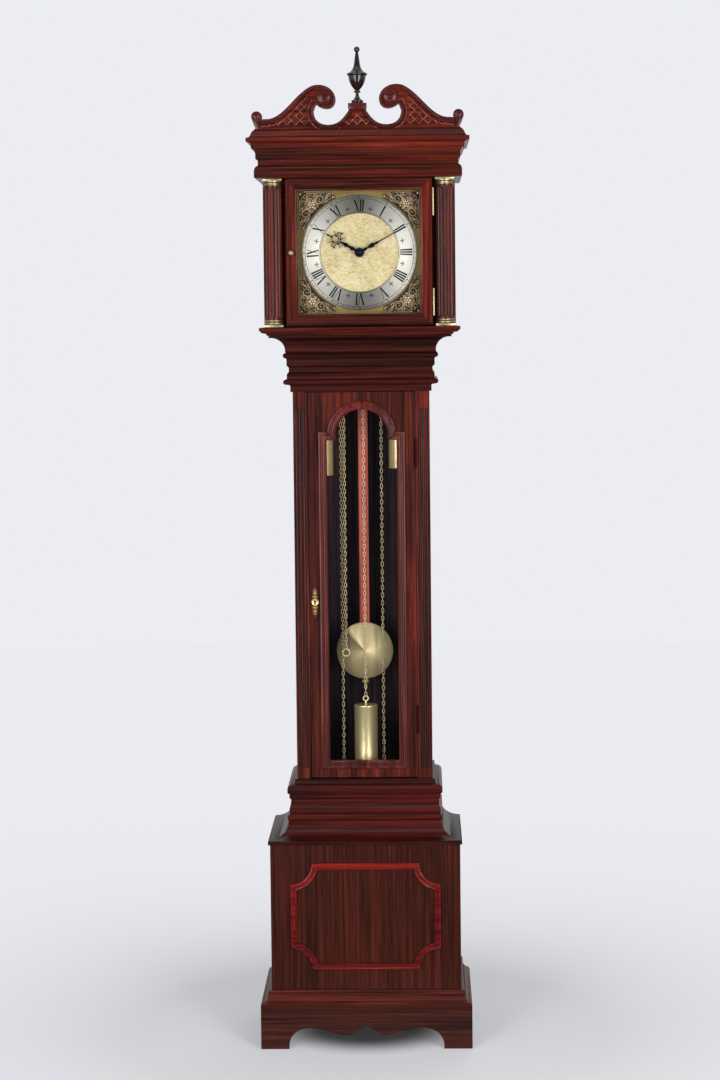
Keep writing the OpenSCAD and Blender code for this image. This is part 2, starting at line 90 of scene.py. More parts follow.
for sign, operation in (("add", "ADD"), ("sub", "SUBTRACT"), ("mul", "MULTIPLY"),
                        ("truediv", "DIVIDE"), ("pow", "POWER")):
    setattr(Wire, f"__{sign}__", lambda self, other, kind=operation: self.maths(kind, self, other))
    setattr(Wire, f"__r{sign}__", lambda self, other, kind=operation: self.maths(kind, other, self))


class Graph:
    # a node tree whose nodes are all made and wired by one method
    def __init__(self, tree):
        self.tree = tree

    def feed(self, slot, value):
        if isinstance(value, Wire):
            self.tree.links.new(value.socket, slot)
        else:
            slot.default_value = value

    def node(self, kind, settings, sockets, out=0):
        made = self.tree.nodes.new(kind)
        for key, value in settings.items():
            if key == "stops":
                ramp = made.color_ramp
                for at, colour in value[2:]:
                    ramp.elements.new(at)
                for stop, (at, colour) in zip(ramp.elements, sorted(value)):
                    stop.position = at
                    stop.color = (*colour, 1.0)
            else:
                setattr(made, key, value)
        for key, value in sockets.items():
            self.feed(made.inputs[key], value)
        return Wire(self, made.outputs[out])

    def mix(self, factor, first, second, blend="MIX"):
        # factor, then the two colours
        return self.node("ShaderNodeMix", {"data_type": "RGBA", "blend_type": blend},
                         {0: factor, 6: first, 7: second}, 2)

    def vector(self, operation, sockets, out=0):
        return self.node("ShaderNodeVectorMath", {"operation": operation}, sockets, out)

    def split(self, vector):
        # the X, Y and Z of a vector
        parts = self.node("ShaderNodeSeparateXYZ", {}, {0: vector}).socket.node
        return [Wire(self, socket) for socket in parts.outputs]


class Finish(Graph):
    # one material, with a Principled shader ready on its output
    def __init__(self, name, **constants):
        self.material = bpy.data.materials.new(name)
        self.material.use_nodes = True
        super().__init__(self.material.node_tree)
        self.tree.nodes.clear()
        self.output = self.tree.nodes.new("ShaderNodeOutputMaterial")
        self.shader = self.tree.nodes.new("ShaderNodeBsdfPrincipled")
        self.tree.links.new(self.shader.outputs[0], self.output.inputs[0])
        self.set(**constants)
        self.place = self.node("ShaderNodeTexCoord", {}, {}, "Object")

    def mapped(self, scale, shift=(0, 0, 0), turn=(0, 0, 0)):
        return self.node("ShaderNodeMapping", {}, {"Vector": self.place, "Scale": scale,
                                                   "Location": shift, "Rotation": turn})

    def noise(self, vector, size=1.0, detail=3.0, rough=0.55, twist=0.0):
        return self.node("ShaderNodeTexNoise", {}, {"Vector": vector, "Scale": size, "Detail": detail,
                                                    "Roughness": rough, "Distortion": twist})

    def ramp(self, value, stops):
        return self.node("ShaderNodeValToRGB", {"stops": stops}, {0: value})

    def bump(self, height, strength, distance, normal=None):
        sockets = {"Height": height, "Strength": strength, "Distance": distance}
        if normal is not None:
            sockets["Normal"] = normal
        return self.node("ShaderNodeBump", {}, sockets)

    def set(self, **sockets):
        for key, value in sockets.items():
            self.feed(self.shader.inputs[key.replace("_", " ")], value)
        return self


def rgb(r, g, b):
    # an sRGB colour from 0 to 255, as the shader wants it
    def line(c):
        c /= 255
        return c / 12.92 if c <= 0.04045 else ((c + 0.055) / 1.055) ** 2.4
    return (line(r), line(g), line(b))

woodLooks = {
    # colours from the dark pores to the light streaks, then the share of red
    "case": ((29, 8, 7), (65, 22, 15), (106, 40, 27), 0.16),
    "panel": ((30, 10, 7), (54, 20, 12), (78, 31, 19), 0.05),
    "moulding": ((15, 4, 3), (40, 12, 8), (72, 21, 14), 0.1),
    "hood": ((33, 9, 6), (74, 22, 13), (118, 39, 23), 0.2),
    "lip": ((38, 11, 10), (74, 27, 22), (114, 47, 39), 0.25),
    "crest": ((24, 8, 7), (54, 18, 15), (86, 34, 28), 0.1),
    # a pale copy of the pediment wood: painted highlight on the lattice ribs and beads
    "rib": ((84, 38, 32), (142, 80, 70), (184, 122, 110), 0.0),
    "bead": ((58, 9, 9), (98, 20, 18), (138, 36, 31), 0.4),
    "rod": ((138, 58, 50), (192, 94, 82), (220, 132, 118), 0.0),
    # a darker copy of the case wood: painted shade for the pilasters' flute hollows
    "flute": ((18, 6, 5), (44, 16, 13), (74, 29, 24), 0.0),
    "turned": ((10, 7, 7), (26, 17, 16), (42, 26, 24), 0.0),
    "inside": ((36, 26, 30), (56, 42, 47), (74, 55, 60), 0.0),
    "carcass": ((60, 34, 20), (104, 66, 40), (138, 94, 60), 0.0),
}
warmRed = (*rgb(120, 22, 18), 1)
woods = {}


def woodFinish(look, grain="z", coat=0.12, rough=0.23):
    # timber with long streaks, open pores and a clear polish; grain is the axis the fibres follow
    name = f"{look}Wood_{grain}"
    if name in woods:
        return woods[name]
    dark, mid, light = (rgb(*tone) for tone in woodLooks[look][:3])
    wood = Finish(name, Coat_Weight=coat, Coat_Roughness=0.12, Specular_IOR_Level=0.13)

    def fibres(across, lengthwise, shift, *noise):
        # noise drawn out along the grain
        stretch = tuple(lengthwise if a == grain else across for a in "xyz")
        return wood.noise(wood.mapped(stretch, shift), 1.0, *noise)

    start = random.Random(name).uniform(0, 40)
    wander = fibres(9, 1.3, (start, 0, 0), 2.0, 0.5, 0.4)
    streak = fibres(150, 2.6, (start, 3, 1), 4.0, 0.62, 0.25)
    fine = fibres(520, 11, (2, start, 5), 2.0, 0.6)
    pores = fibres(1500, 36, (1, 4, start), 1.0, 0.5)
    body = (streak * 0.66 + wander * 0.34 + fine * 0.36 - 0.18).clamped()
    base = wood.ramp(body, [(0.36, dark), (0.51, mid), (0.66, light)])
    warm = wood.mix((wander.band(0.5, 0.7) * woodLooks[look][3]).clamped(), base, warmRed)
    wood.set(Base_Color=wood.mix(pores.band(0.60, 0.72) * 0.55, warm, (*dark, 1)),
             Roughness=rough + fine * 0.12,
             Normal=wood.bump(pores * 0.6 + streak * 0.4, 0.12, 0.0004))
    woods[name] = wood.material
    return wood.material


def metalFinish(name, colour, rough, grime, grimeAmount, bump=0.0, bumpSize=900, metallic=1.0):
    # polished or worn metal with a faint tarnish in patches
    metal = Finish(name, Metallic=metallic)
    cloud = metal.noise(metal.mapped((30, 30, 30)), 1.0, 4.0, 0.6)
    speck = metal.noise(metal.mapped((bumpSize,) * 3), 1.0, 2.0, 0.5)
    dirt = (cloud.band(0.45, 0.75) * grimeAmount).clamped()
    metal.set(Base_Color=metal.mix(dirt, (*rgb(*colour), 1), (*rgb(*grime), 1)),
              Roughness=rough + cloud * 0.08 + speck * 0.05)
    if bump:
        metal.set(Normal=metal.bump(speck, bump, 0.0003))
    return metal.material


def spunFinish(name, colour, centreZ, rough, spread, star, metallic=1.0):
    # metal turned in a lathe round an axis along Y; its base colour is multiplied by a painted highlight and
    # shade that change with the angle round the axis, given as (turn, grey) stops, turn 0.5 to the right
    metal = Finish(name, Metallic=metallic)
    flat = metal.mapped((1, 0, 1), (0, 0, -centreZ))
    across, _, up = metal.split(flat)
    turn = across.maths("ARCTAN2", up, across) / tau + 0.5
    # painted highlight and shade: the colour is lightened or darkened by the angle round the axis
    rays = metal.ramp(turn, [(at, (grey,) * 3) for at, grey in star])
    hair = metal.node("ShaderNodeTexWhiteNoise", {}, {"Vector": metal.mapped((7919, 7919, 7919))})
    tip = metal.vector("SCALE", {0: metal.vector("NORMALIZE", {0: flat}),
                                 "Scale": (hair - 0.5) * (2 * spread)})
    facing = metal.node("ShaderNodeNewGeometry", {}, {}, "Normal")
    cloud = metal.noise(metal.mapped((26, 26, 26)), 1.0, 3.0, 0.55)
    tone = metal.mix(cloud.band(0.4, 0.8) * 0.2, (*colour, 1), (*tuple(c * 0.75 for c in colour), 1))
    metal.set(Base_Color=metal.mix(1.0, tone, rays, "MULTIPLY"), Roughness=rough + cloud * 0.06,
              Normal=metal.vector("NORMALIZE", {0: metal.vector("ADD", {0: facing, 1: tip})}))
    return metal.material


def mattedFinish():
    # the dial's grained gold centre
    gold = Finish("mattedGold", Metallic=0.15, Roughness=0.5)
    grain = gold.noise(gold.mapped((900, 60, 900)), 1.0, 3.0, 0.7)
    weave = gold.noise(gold.mapped((160, 60, 420)), 1.0, 2.0, 0.5)
    patch = gold.noise(gold.mapped((40, 10, 40)), 1.0, 2.0, 0.5)
    tone = (grain * 0.5 + weave * 0.35 + patch * 0.25).clamped()
    gold.set(Base_Color=gold.ramp(tone, [(0.42, rgb(166, 144, 90)), (0.54, rgb(204, 188, 138)),
                                         (0.66, rgb(226, 214, 174))]),
             Normal=gold.bump(grain, 0.5, 0.0005))
    return gold.material


def paneFinish(name, tint=0.985):
    # thin glass: clear straight on, reflecting at a slant
    glass = Finish(name, Metallic=0.0, Roughness=0.02, Base_Color=(0.02, 0.02, 0.02, 1))
    clear = glass.node("ShaderNodeBsdfTransparent", {}, {"Color": (tint, tint, tint, 1)})
    slant = glass.node("ShaderNodeLayerWeight", {}, {"Blend": 0.5}, "Facing")
    both = glass.node("ShaderNodeMixShader", {}, {0: (slant ** 5 * 0.9 + 0.03).clamped(), 1: clear,
                                                  2: Wire(glass, glass.shader.outputs[0])})
    glass.feed(glass.output.inputs[0], both)
    return glass.material


def fleckedFinish(name, size, dark, light, rough, spread, **constants):
    # a dark finish mottled between two tones
    flecked = Finish(name, **constants)
    wear = flecked.noise(flecked.mapped((size,) * 3), 1.0, 3.0, 0.6)
    flecked.set(Base_Color=flecked.ramp(wear, [(0.3, dark), (0.7, light)]),
                Roughness=rough + wear * spread)
    return flecked.material


def castGiltFinish(name, face, floor, tones):
    # gilt castings with painted shade in the hollows and a painted highlight on the raised tops; face and
    # floor are the front and back of the relief in Y
    gilt = Finish(name, Metallic=0.6)
    high = gilt.node("ShaderNodeMapRange", {},
                     {0: gilt.split(gilt.place)[1], 1: floor, 2: face, 3: 0.0, 4: 1.0})
    grain = gilt.noise(gilt.mapped((700, 700, 700)), 1.0, 3.0, 0.6)
    # painted shade and highlight: the colour runs from dark at the back of the relief to pale at its front
    tone = (high * 0.85 + grain * 0.4 - 0.15).clamped()
    gilt.set(Base_Color=gilt.ramp(tone, list(zip((0.3, 0.58, 0.86), tones))),
             Roughness=0.26 + grain * 0.2, Normal=gilt.bump(grain, 0.35, 0.0004))
    return gilt.material


metals = {
    # colour, roughness, tarnish and its share, bump, bump size, metallic
    "polishedBrass": ((172, 158, 124), 0.3, (104, 88, 58), 0.5),
    "plateBrass": ((176, 150, 92), 0.3, (86, 72, 40), 0.5, 0.15),
    "chainBrass": ((234, 218, 176), 0.4, (176, 154, 108), 0.4, 0.0, 900, 0.75),
    "bronzedBrass": ((46, 18, 13), 0.45, (20, 9, 7), 0.5),
    "weightBrass": ((244, 226, 172), 0.3, (206, 180, 122), 0.3, 0.05, 300, 0.8),
}
polishedBrass, plateBrass, chainBrass, bronzedBrass, weightBrass = (
    metalFinish(name, *look) for name, look in metals.items())
waxAndHoleShade = fleckedFinish("engravingWax", 300, rgb(4, 5, 7), rgb(16, 17, 21), 0.4, 0.2,
                          Metallic=0.0, Specular_IOR_Level=0.15)
blued = fleckedFinish("bluedSteel", 120, rgb(12, 14, 26), rgb(34, 40, 62), 0.2, 0.12, Metallic=0.9)
pane = paneFinish("windowGlass")
print("finishes ready")


def linked(name, data):
    piece = bpy.data.objects.new(name, data)
    scene.collection.objects.link(piece)
    return piece


def newPiece(name, points, faces, kinds=None):
    # kinds holds the material index of each face
    mesh = bpy.data.meshes.new(name)
    mesh.from_pydata([tuple(p) for p in points], [], faces)
    mesh.update()
    if kinds:
        mesh.polygons.foreach_set("material_index", kinds)
    return linked(name, mesh)


def quads(rings, around, wrap=False, closed=True):
    # the faces between neighbouring rings of points; wrap joins the last ring to the first
    return [(i * around + k, i * around + (k + 1) % around,
             (i + 1) % rings * around + (k + 1) % around, (i + 1) % rings * around + k)
            for i in range(rings if wrap else rings - 1) for k in range(around if closed else around - 1)]


def opened(mesh, near=1e-6):
    # a mesh ready to be worked on, with doubled points merged
    work = bmesh.new()
    work.from_mesh(mesh)
    bmesh.ops.remove_doubles(work, verts=work.verts, dist=near)
    return work


def shut(work, mesh):
    work.to_mesh(mesh)
    work.free()


def fromBmesh(name, work):
    mesh = bpy.data.meshes.new(name)
    shut(work, mesh)
    return linked(name, mesh)


def tidyNormals(piece):
    work = opened(piece.data)
    bmesh.ops.recalc_face_normals(work, faces=work.faces)
    shut(work, piece.data)
    return piece


def softened(piece, width, angle=35):
    # rounds every sharp edge of a solid
    work = opened(piece.data)
    sharp = [e for e in work.edges
             if len(e.link_faces) == 2 and e.calc_face_angle(0) > math.radians(angle)]
    bmesh.ops.bevel(work, geom=sharp, offset=width, segments=2, profile=0.5, affect="EDGES",
                    clamp_overlap=True)
    shut(work, piece.data)
    return piece


def smoothed(piece):
    for face in piece.data.polygons:
        face.use_smooth = True
    return piece


def settle(piece, body, finish, nodes=(), slot=None, smooth=32, even=False):
    # finish, shading and the body that carries the piece
    for material in (finish if isinstance(finish, (list, tuple)) else [finish]):
        piece.data.materials.append(material)
    smoothed(piece).data.set_sharp_from_angle(angle=math.radians(smooth))
    if even:
        evenly = piece.modifiers.new("evenNormals", "WEIGHTED_NORMAL")
        evenly.keep_sharp = True
        evenly.weight = 60
    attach(piece, body)
    if nodes:
        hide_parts(*nodes)
    return piece


def cadCopy(node, name, width):
    # a merged copy of a CAD node with its edges eased
    work = opened(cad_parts[node].data, 2e-6)
    bmesh.ops.dissolve_limit(work, angle_limit=math.radians(0.5), verts=work.verts, edges=work.edges)
    bmesh.ops.recalc_face_normals(work, faces=work.faces)
    return softened(fromBmesh(name, work), width)


def cutBack(node, name, front):
    # the part of a CAD solid that lies behind the plane y = front
    work = opened(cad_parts[node].data, 2e-6)
    cut = bmesh.ops.bisect_plane(work, geom=work.verts[:] + work.edges[:] + work.faces[:],
                                 plane_co=(0, front, 0), plane_no=(0, -1, 0), clear_outer=True)
    bmesh.ops.holes_fill(work, edges=[e for e in cut["geom_cut"] if isinstance(e, bmesh.types.BMEdge)])
    bmesh.ops.recalc_face_normals(work, faces=work.faces)
    return fromBmesh(name, work)


def lathe(name, profile, centre, axis="y", steps=48):
    # profile holds (radius, along) pairs in mm; the ends close on the axis
    points = []
    for k in range(steps):
        c, s = math.cos(tau * k / steps), math.sin(tau * k / steps)
        for r, h in profile:
            r, h = max(r, 0) * mm, h * mm
            points.append(Vector(centre) + Vector((r * c, r * s, h) if axis == "z" else (r * c, -h, r * s)))
    return tidyNormals(newPiece(name, points, quads(steps, len(profile), True, False)))


def block(name, low, high, ease):
    # a box between two corners, with its edges eased
    points = [(x, y, z) for z in (low[2], high[2])
              for x, y in ((low[0], low[1]), (high[0], low[1]), (high[0], high[1]), (low[0], high[1]))]
    return softened(newPiece(name, points, [(3, 2, 1, 0), (4, 5, 6, 7), *quads(2, 4)]), ease)


def slabOf(name, outline, y0, y1):
    # a flat piece drawn in X and Z (mm, about the origin), from y0 back to y1
    count = len(outline)
    points = [(x * mm, y, z * mm) for y in (y0, y1) for x, z in outline]
    caps = [tuple(range(count)), tuple(reversed(range(count, 2 * count)))]
    return tidyNormals(newPiece(name, points, caps + quads(2, count)))


def swept(name, path, section):
    # path holds (x, z, width) in mm; section holds (across, y) with across as a share of the width
    count, sides, points = len(path), len(section), []
    for k, (x, z, width) in enumerate(path):
        before, after = path[max(k - 1, 0)], path[min(k + 1, count - 1)]
        dx, dz = after[0] - before[0], after[1] - before[1]
        size = math.hypot(dx, dz) or 1
        points += [((x - dz / size * across * width) * mm, y, (z + dx / size * across * width) * mm)
                   for across, y in section]
    caps = [tuple(range(sides)), tuple(range((count - 1) * sides, count * sides))]
    return tidyNormals(newPiece(name, points, quads(count, sides) + caps))


def tube(name, centre, radius, wire, around, sides):
    # a closed ring of round wire that faces the front
    points = []
    for k in range(around):
        a = tau * k / around
        for i in range(sides):
            b = tau * i / sides
            r = radius + wire * math.cos(b)
            points.append(Vector(centre) + Vector((r * math.cos(a), wire * math.sin(b), r * math.sin(a))))
    return tidyNormals(newPiece(name, points, quads(around, sides, True)))


def halfRound(base, height, steps=5):
    # a domed section standing on the plane y = base, height in mm towards the front
    return [(0.5 * math.cos(math.pi * i / steps), base - height * mm * math.sin(math.pi * i / steps))
            for i in range(steps + 1)]


def mirrored(piece, name, sx, sz):
    # a copy of a loose part, mirrored about the dial's middle
    mesh = piece.data.copy()
    for v in mesh.vertices:
        v.co.x, v.co.z = sx * v.co.x, sz * (v.co.z - dialZ) + dialZ
    return tidyNormals(linked(name, mesh))


def joined(name, parts):
    # several loose pieces as one mesh, keeping their material indices
    work = bmesh.new()
    for part in parts:
        work.from_mesh(part.data)
        bpy.data.objects.remove(part)
    return fromBmesh(name, work)


def onArc(cx, cz, rx, rz, degrees):
    a = math.radians(degrees)
    return cx + rx * math.cos(a), cz + rz * math.sin(a)


def arc(cx, cz, rx, rz, a0, a1, n=10):
    return [onArc(cx, cz, rx, rz, a0 + (a1 - a0) * i / n) for i in range(n + 1)]


def scroll(cx, cz, r0, r1, a0, a1, w0, w1, n=18):
    # a volute round (cx, cz): radius and width run from the first value to the second
    def part(first, last, i):
        return first + (last - first) * i / n
    return [(*onArc(cx, cz, part(r0, r1, i), part(r0, r1, i), part(a0, a1, i)), part(w0, w1, i))
            for i in range(n + 1)]


def curve(a, b, c, d, n=12):
    def at(t):
        u = 1 - t
        return tuple(u * u * u * p + 3 * u * u * t * q + 3 * u * t * t * r + t * t * t * s
                     for p, q, r, s in zip(a, b, c, d))
    return [at(i / n) for i in range(n + 1)]


def tapered(line, width, loss=0.0):
    # a path whose width shrinks by loss at every point
    return [(x, z, width - loss * i) for i, (x, z) in enumerate(line)]


def flipped(line, side):
    # side -1 mirrors a path from right to left
    return [(side * x, *rest) for x, *rest in line]


def middleOf(node):
    # the middle of a CAD node's box
    return [(a + b) / 2 for a, b in zip(*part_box(node))]


def camel(node):
    first, *words = node.split("_")
    return first + "".join(word.capitalize() for word in words)


back = cadBox[1].y
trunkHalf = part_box("trunk_right")[1].x
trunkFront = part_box("pilaster_left")[0].y
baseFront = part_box("base_front")[0].y
dialZ = middleOf("chapter_ring")[2]
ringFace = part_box("chapter_ring")[0].y
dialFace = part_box("spandrels")[1].y
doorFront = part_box("hood_door_frame")[0].y


def frontOf(halfWidth):
    # a moulding stands as far forward as it stands out at the sides
    return trunkFront - (halfWidth - trunkHalf)


def paint(node, material):
    # a CAD node that stays gets its finish
    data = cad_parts[node].data
    data.materials.clear()
    data.materials.append(material)


def splitGrain(piece):
    # faces that look sideways take the second material, whose grain runs front to back
    for face in piece.data.polygons:
        face.material_index = 1 if abs(face.normal.x) > 0.72 else 0
    return piece


def mitred(name, rows, innerHalf, innerFront):
    # a moulding round the front and both sides; the side faces take the second material
    section = [(h * mm, z * mm, frontOf(h * mm)) for h, z in rows]
    section += [(innerHalf, section[-1][1], innerFront), (innerHalf, section[0][1], innerFront)]
    count, points = len(section), []
    for h, z, y in section:
        points += [(-h, back, z), (-h, y, z), (h, y, z), (h, back, z)]
    ends = [tuple(4 * i for i in range(count)), tuple(4 * i + 3 for i in reversed(range(count)))]
    piece = newPiece(name, points, quads(count, 4, True, False) + ends, [1, 0, 1] * count + [1, 1])
    return softened(tidyNormals(piece), 0.0005, 40)


def plinthRows(z=92):
    return [(215, z), (215, z + 3)] + arc(215, z + 16, 13, 13, 270, 180) + [(202, z + 24), (200, z + 26)]


def flareRows(z=420):
    return ([(199, z), (199, z + 7.5)] + arc(197, z + 38, 39, 29.5, 270, 180, 16) + [(157.5, z + 41.5)]
            + arc(154.7, z + 48.5, 5.6, 7, -90, 90) + [(156, z + 58), (156, z + 68), (153, z + 72)]
            + [(153, z + 86), (156, z + 89), (156, z + 97), (159, z + 99), (160, z + 101)]
            + [(160, z + 108)] + arc(147, z + 108, 13, 9, 0, 90) + [(145, z + 120), (145, z + 126.5)])


def throatRows(z=1347, top=1462):
    return ([(144.5, z), (144.5, z + 13), (148, z + 14.5)] + arc(152, z + 20.5, 6.5, 5.5, -90, 90)
            + [(151, z + 27), (151, z + 37), (147, z + 41), (147, z + 50), (151.3, z + 54)]
            + [(151.3, z + 66)] + arc(152.5, z + 74.5, 6, 5.5, -90, 90) + [(154, z + 82)]
            + arc(182, z + 85, 28, 26, 180, 90, 16) + [(185.5, z + 111), (185.5, top)])


def sillRows(z=1462.4, top=1479):
    return ([(188, z), (190, z + 4)] + arc(191, z + 9.5, 10, 5, -90, 0)
            + [(203.5, z + 10), (203.5, z + 15.5), (202, top)])


def corniceRows(z=1779):
    return ([(207, z), (209, z + 1.5), (209, z + 12)] + arc(201.5, z + 13, 7.5, 12, 0, 90)
            + [(201.5, z + 36), (206, z + 39), (206, z + 47)] + arc(214, z + 47, 8, 12, 180, 90)
            + [(214.5, z + 68), (217, z + 70), (220, z + 72), (224, z + 73), (224, z + 80)]
            + curve((219, z + 81), (212, z + 86), (217, z + 90), (207, z + 97), 8))


mouldings = {
    "plinthMoulding": (plinthRows(), "plinth_moulding", "case", 0.195, baseFront, "case"),
    "flareMoulding": (flareRows(), "flare_moulding", "case", trunkHalf, trunkFront, "moulding"),
    "throatMoulding": (throatRows(), "throat_moulding", "case", trunkHalf, trunkFront, "moulding"),
    "hoodSill": (sillRows(), "hood_sill", "hood", trunkHalf + mm, trunkFront + 2 * mm, "hood"),
    "hoodCornice": (corniceRows(), "cornice", "hood", 0.177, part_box("hood_roof")[0].y, "hood"),
}
for name, (rows, node, body, innerHalf, innerFront, look) in mouldings.items():
    settle(mitred(name, rows, innerHalf, innerFront), body,
           [woodFinish(look, "x"), woodFinish(look, "y")], [node], "mahogany", even=True)
print("mouldings ready")

boards = [
    # body, look, grain, slot, CAD nodes
    ("case", "panel", "z", "mahogany_dark", "base_front base_left base_right"),
    ("case", "case", "z", "mahogany_dark", "trunk_left trunk_right"),
    ("case", "case", "z", "mahogany", "pilaster_left pilaster_right"),
    ("case", "inside", "z", "inner_timber", "back_board"),
    ("case", "carcass", "x", "inner_timber", "base_floor seat_board"),
    ("hood", "hood", "z", "mahogany_dark", "hood_left hood_right"),
    ("hood", "hood", "x", "mahogany_dark", "hood_mask"),
    ("hood", "carcass", "x", "inner_timber", "hood_roof"),
]
for body, look, grain, slotName, nodes in boards:
    for node in nodes.split():
        board = cadCopy(node, camel(node) + "Board", 0.0007)
        inward = {"trunk_left": 1, "trunk_right": -1}.get(node, 0)
        fluted = node.startswith("pilaster")
        for face in board.data.polygons:
            deep = face.center.y - trunkFront
            # the inner faces of the trunk sides take the inside wood; the pilasters' flute hollows take a
            # darker wood as painted shade
            face.material_index = int(inward * face.normal.x > 0.7 or (
                fluted and 0.3 * mm < deep < 4 * mm and face.normal.y < -0.1))
        second = ["inside"] if inward else ["flute"] if fluted else []
        settle(board, body, [woodFinish(kind, grain) for kind in [look] + second], [node], slotName,
               even=True)

settle(splitGrain(cadCopy("plinth_frame", "plinthFrame", 0.001)), "case",
       [woodFinish("panel", "x"), woodFinish("panel", "y")], ["plinth_frame"], "mahogany", even=True)
railLook = dict(low=0.508, lap=0.012, gap=1 * mm, deep=8 * mm)  # closes the gap below the trunk door
frameLow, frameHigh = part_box("trunk_door_frame")
settle(block("trunkDoorRail", (-frameHigh.x, frameHigh.y + railLook["gap"], railLook["low"]),
             (frameHigh.x, frameHigh.y + railLook["deep"], frameLow.z + railLook["lap"]), 0.0008),
       "case", woodFinish("inside", "x"), slot="inner_timber", even=True)
print("boards ready")


def followed(name, outlineAt, profile, plane, split=None):
    # outlineAt(offset) gives the outline in X and Z; profile holds (offset, height) pairs
    points = [(x * mm, plane - h * mm, z * mm) for d, h in profile for x, z in outlineAt(d)]
    count = len(points) // len(profile)
    kinds = [split(k) if split else 0 for k in range(count)] * len(profile)
    return tidyNormals(newPiece(name, points, quads(len(profile), count, True), kinds))


basePanel = dict(width=309, low=160, high=382, notch=44, arcSteps=18,
                 profile=[(0, 0), (0, 2.6), (1.2, 4.2), (3.2, 4.6), (4.8, 3.4), (5.6, 2.2), (8.0, 2.0),
                          (9.4, 3.0), (10.2, 4.8), (11.6, 5.4), (12.8, 4.6), (13.5, 2.6), (13.5, 0)])


def panelOutline(inset):
    # a rectangle with a round notch in each corner
    p = basePanel
    radius = p["notch"] + inset
    reach = math.degrees(math.asin(inset / radius))
    notch = arc(0, 0, radius, radius, 270 - reach, 180 + reach, p["arcSteps"])
    return [(sx * (p["width"] / 2 + x), (p["high"] if sz > 0 else p["low"]) + sz * z)
            for sx, sz in ((1, 1), (-1, 1), (-1, -1), (1, -1)) for x, z in notch[::sx * sz]]


settle(followed("basePanelMoulding", panelOutline, basePanel["profile"], baseFront), "case",
       woodFinish("bead", "x"), ["base_panel_moulding"], "mahogany_red", 40, True)

trunkLight = dict(half=71.5, low=585, shoulder=1247, rise=10, radius=53.5, arcSteps=40,
                  profile=[(17.5, 0), (17.5, 2.6), (16.4, 4.4), (14.2, 4.8), (12.6, 3.6), (11.8, 2.4),
                           (8.6, 1.6), (5.4, 2.4), (4.2, 3.6), (2.6, 4.2), (0.9, 3.4), (0, 1.8),
                           (0, -8), (5.8, -8), (5.8, 0)])


def lightOutline(grow):
    p = trunkLight
    hw, r = p["half"] + grow, p["radius"] + grow
    top = p["shoulder"] + grow
    middle = p["shoulder"] + p["rise"]
    start = math.degrees(math.asin((top - middle) / r))
    return ([(-hw, p["low"] - grow), (hw, p["low"] - grow), (hw, top)]
            + arc(0, middle, r, r, start, 180 - start, p["arcSteps"]) + [(-hw, top)])


settle(followed("trunkDoorMoulding", lightOutline, trunkLight["profile"], trunkFront), "trunk_door",
       woodFinish("lip", "z"), ["trunk_door_moulding"], "mahogany_red", 40, True)
settle(cadCopy("trunk_door_frame", "trunkDoorFrame", 0.0008), "trunk_door", woodFinish("case", "z"),
       ["trunk_door_frame"], "mahogany", even=True)

hoodDoor = dict(half=148.5,
                profile=[(0, -20), (0, -1), (1, 0), (18.6, 0), (19.4, 1.3), (21, 2.1), (22.6, 1.5),
                         (23.6, 0.2), (24, -1.4), (24, -12), (20.1, -12), (20.1, -20)])


def squareOutline(inset):
    half, z = hoodDoor["half"] - inset, dialZ / mm
    return [(-half, z - half), (half, z - half), (half, z + half), (-half, z + half)]


settle(followed("hoodDoorFrame", squareOutline, hoodDoor["profile"], doorFront, split=lambda k: k % 2),
       "hood_door", [woodFinish("case", "x"), woodFinish("hood", "z")], ["hood_door_frame"], "mahogany",
       40, True)
for node in ("hood_door_glass", "trunk_door_glass"):
    paint(node, pane)
print("doors ready")


columnLook = dict(radius=18, flutes=18, depth=1.5, low=1495, high=1764, fluteLow=1499, fluteHigh=1759,
                  perFlute=8, land=0.8, ends=[0, 0.6, 1.3, 2.2, 3.2, 4.5])


def flutedColumn(name, x, node):
    c = columnLook
    y, around, rounded = middleOf(node)[1], c["flutes"] * c["perFlute"], c["ends"][-1]
    rows = ([c["low"], c["fluteLow"] - 0.3] + [c["fluteLow"] + e for e in c["ends"]]
            + [c["fluteHigh"] - e for e in reversed(c["ends"])] + [c["fluteHigh"] + 0.3, c["high"]])
    points = []
    for z in rows:
        inside = min(z - c["fluteLow"], c["fluteHigh"] - z)
        fade = 0 if inside <= 0 else math.sqrt(max(0, 1 - (1 - min(inside / rounded, 1)) ** 2))
        for k in range(around):
            across = (k % c["perFlute"]) / c["perFlute"] * 2 - 1
            cut = max(0.0, 1 - (across / c["land"]) ** 2) ** 0.5
            r = (c["radius"] - c["depth"] * cut * fade) * mm
            a = tau * k / around
            points.append((x + r * math.cos(a), y + r * math.sin(a), z * mm))
    ends = [tuple(reversed(range(around))), tuple((len(rows) - 1) * around + k for k in range(around))]
    settle(newPiece(name, points, quads(len(rows), around) + ends), "hood", woodFinish("case", "z"), [node],
           "mahogany", 28)


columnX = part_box("column_right")[0].x + columnLook["radius"] * mm
columnY = middleOf("column_right")[1]
flutedColumn("columnLeft", -columnX, "column_left")
flutedColumn("columnRight", columnX, "column_right")

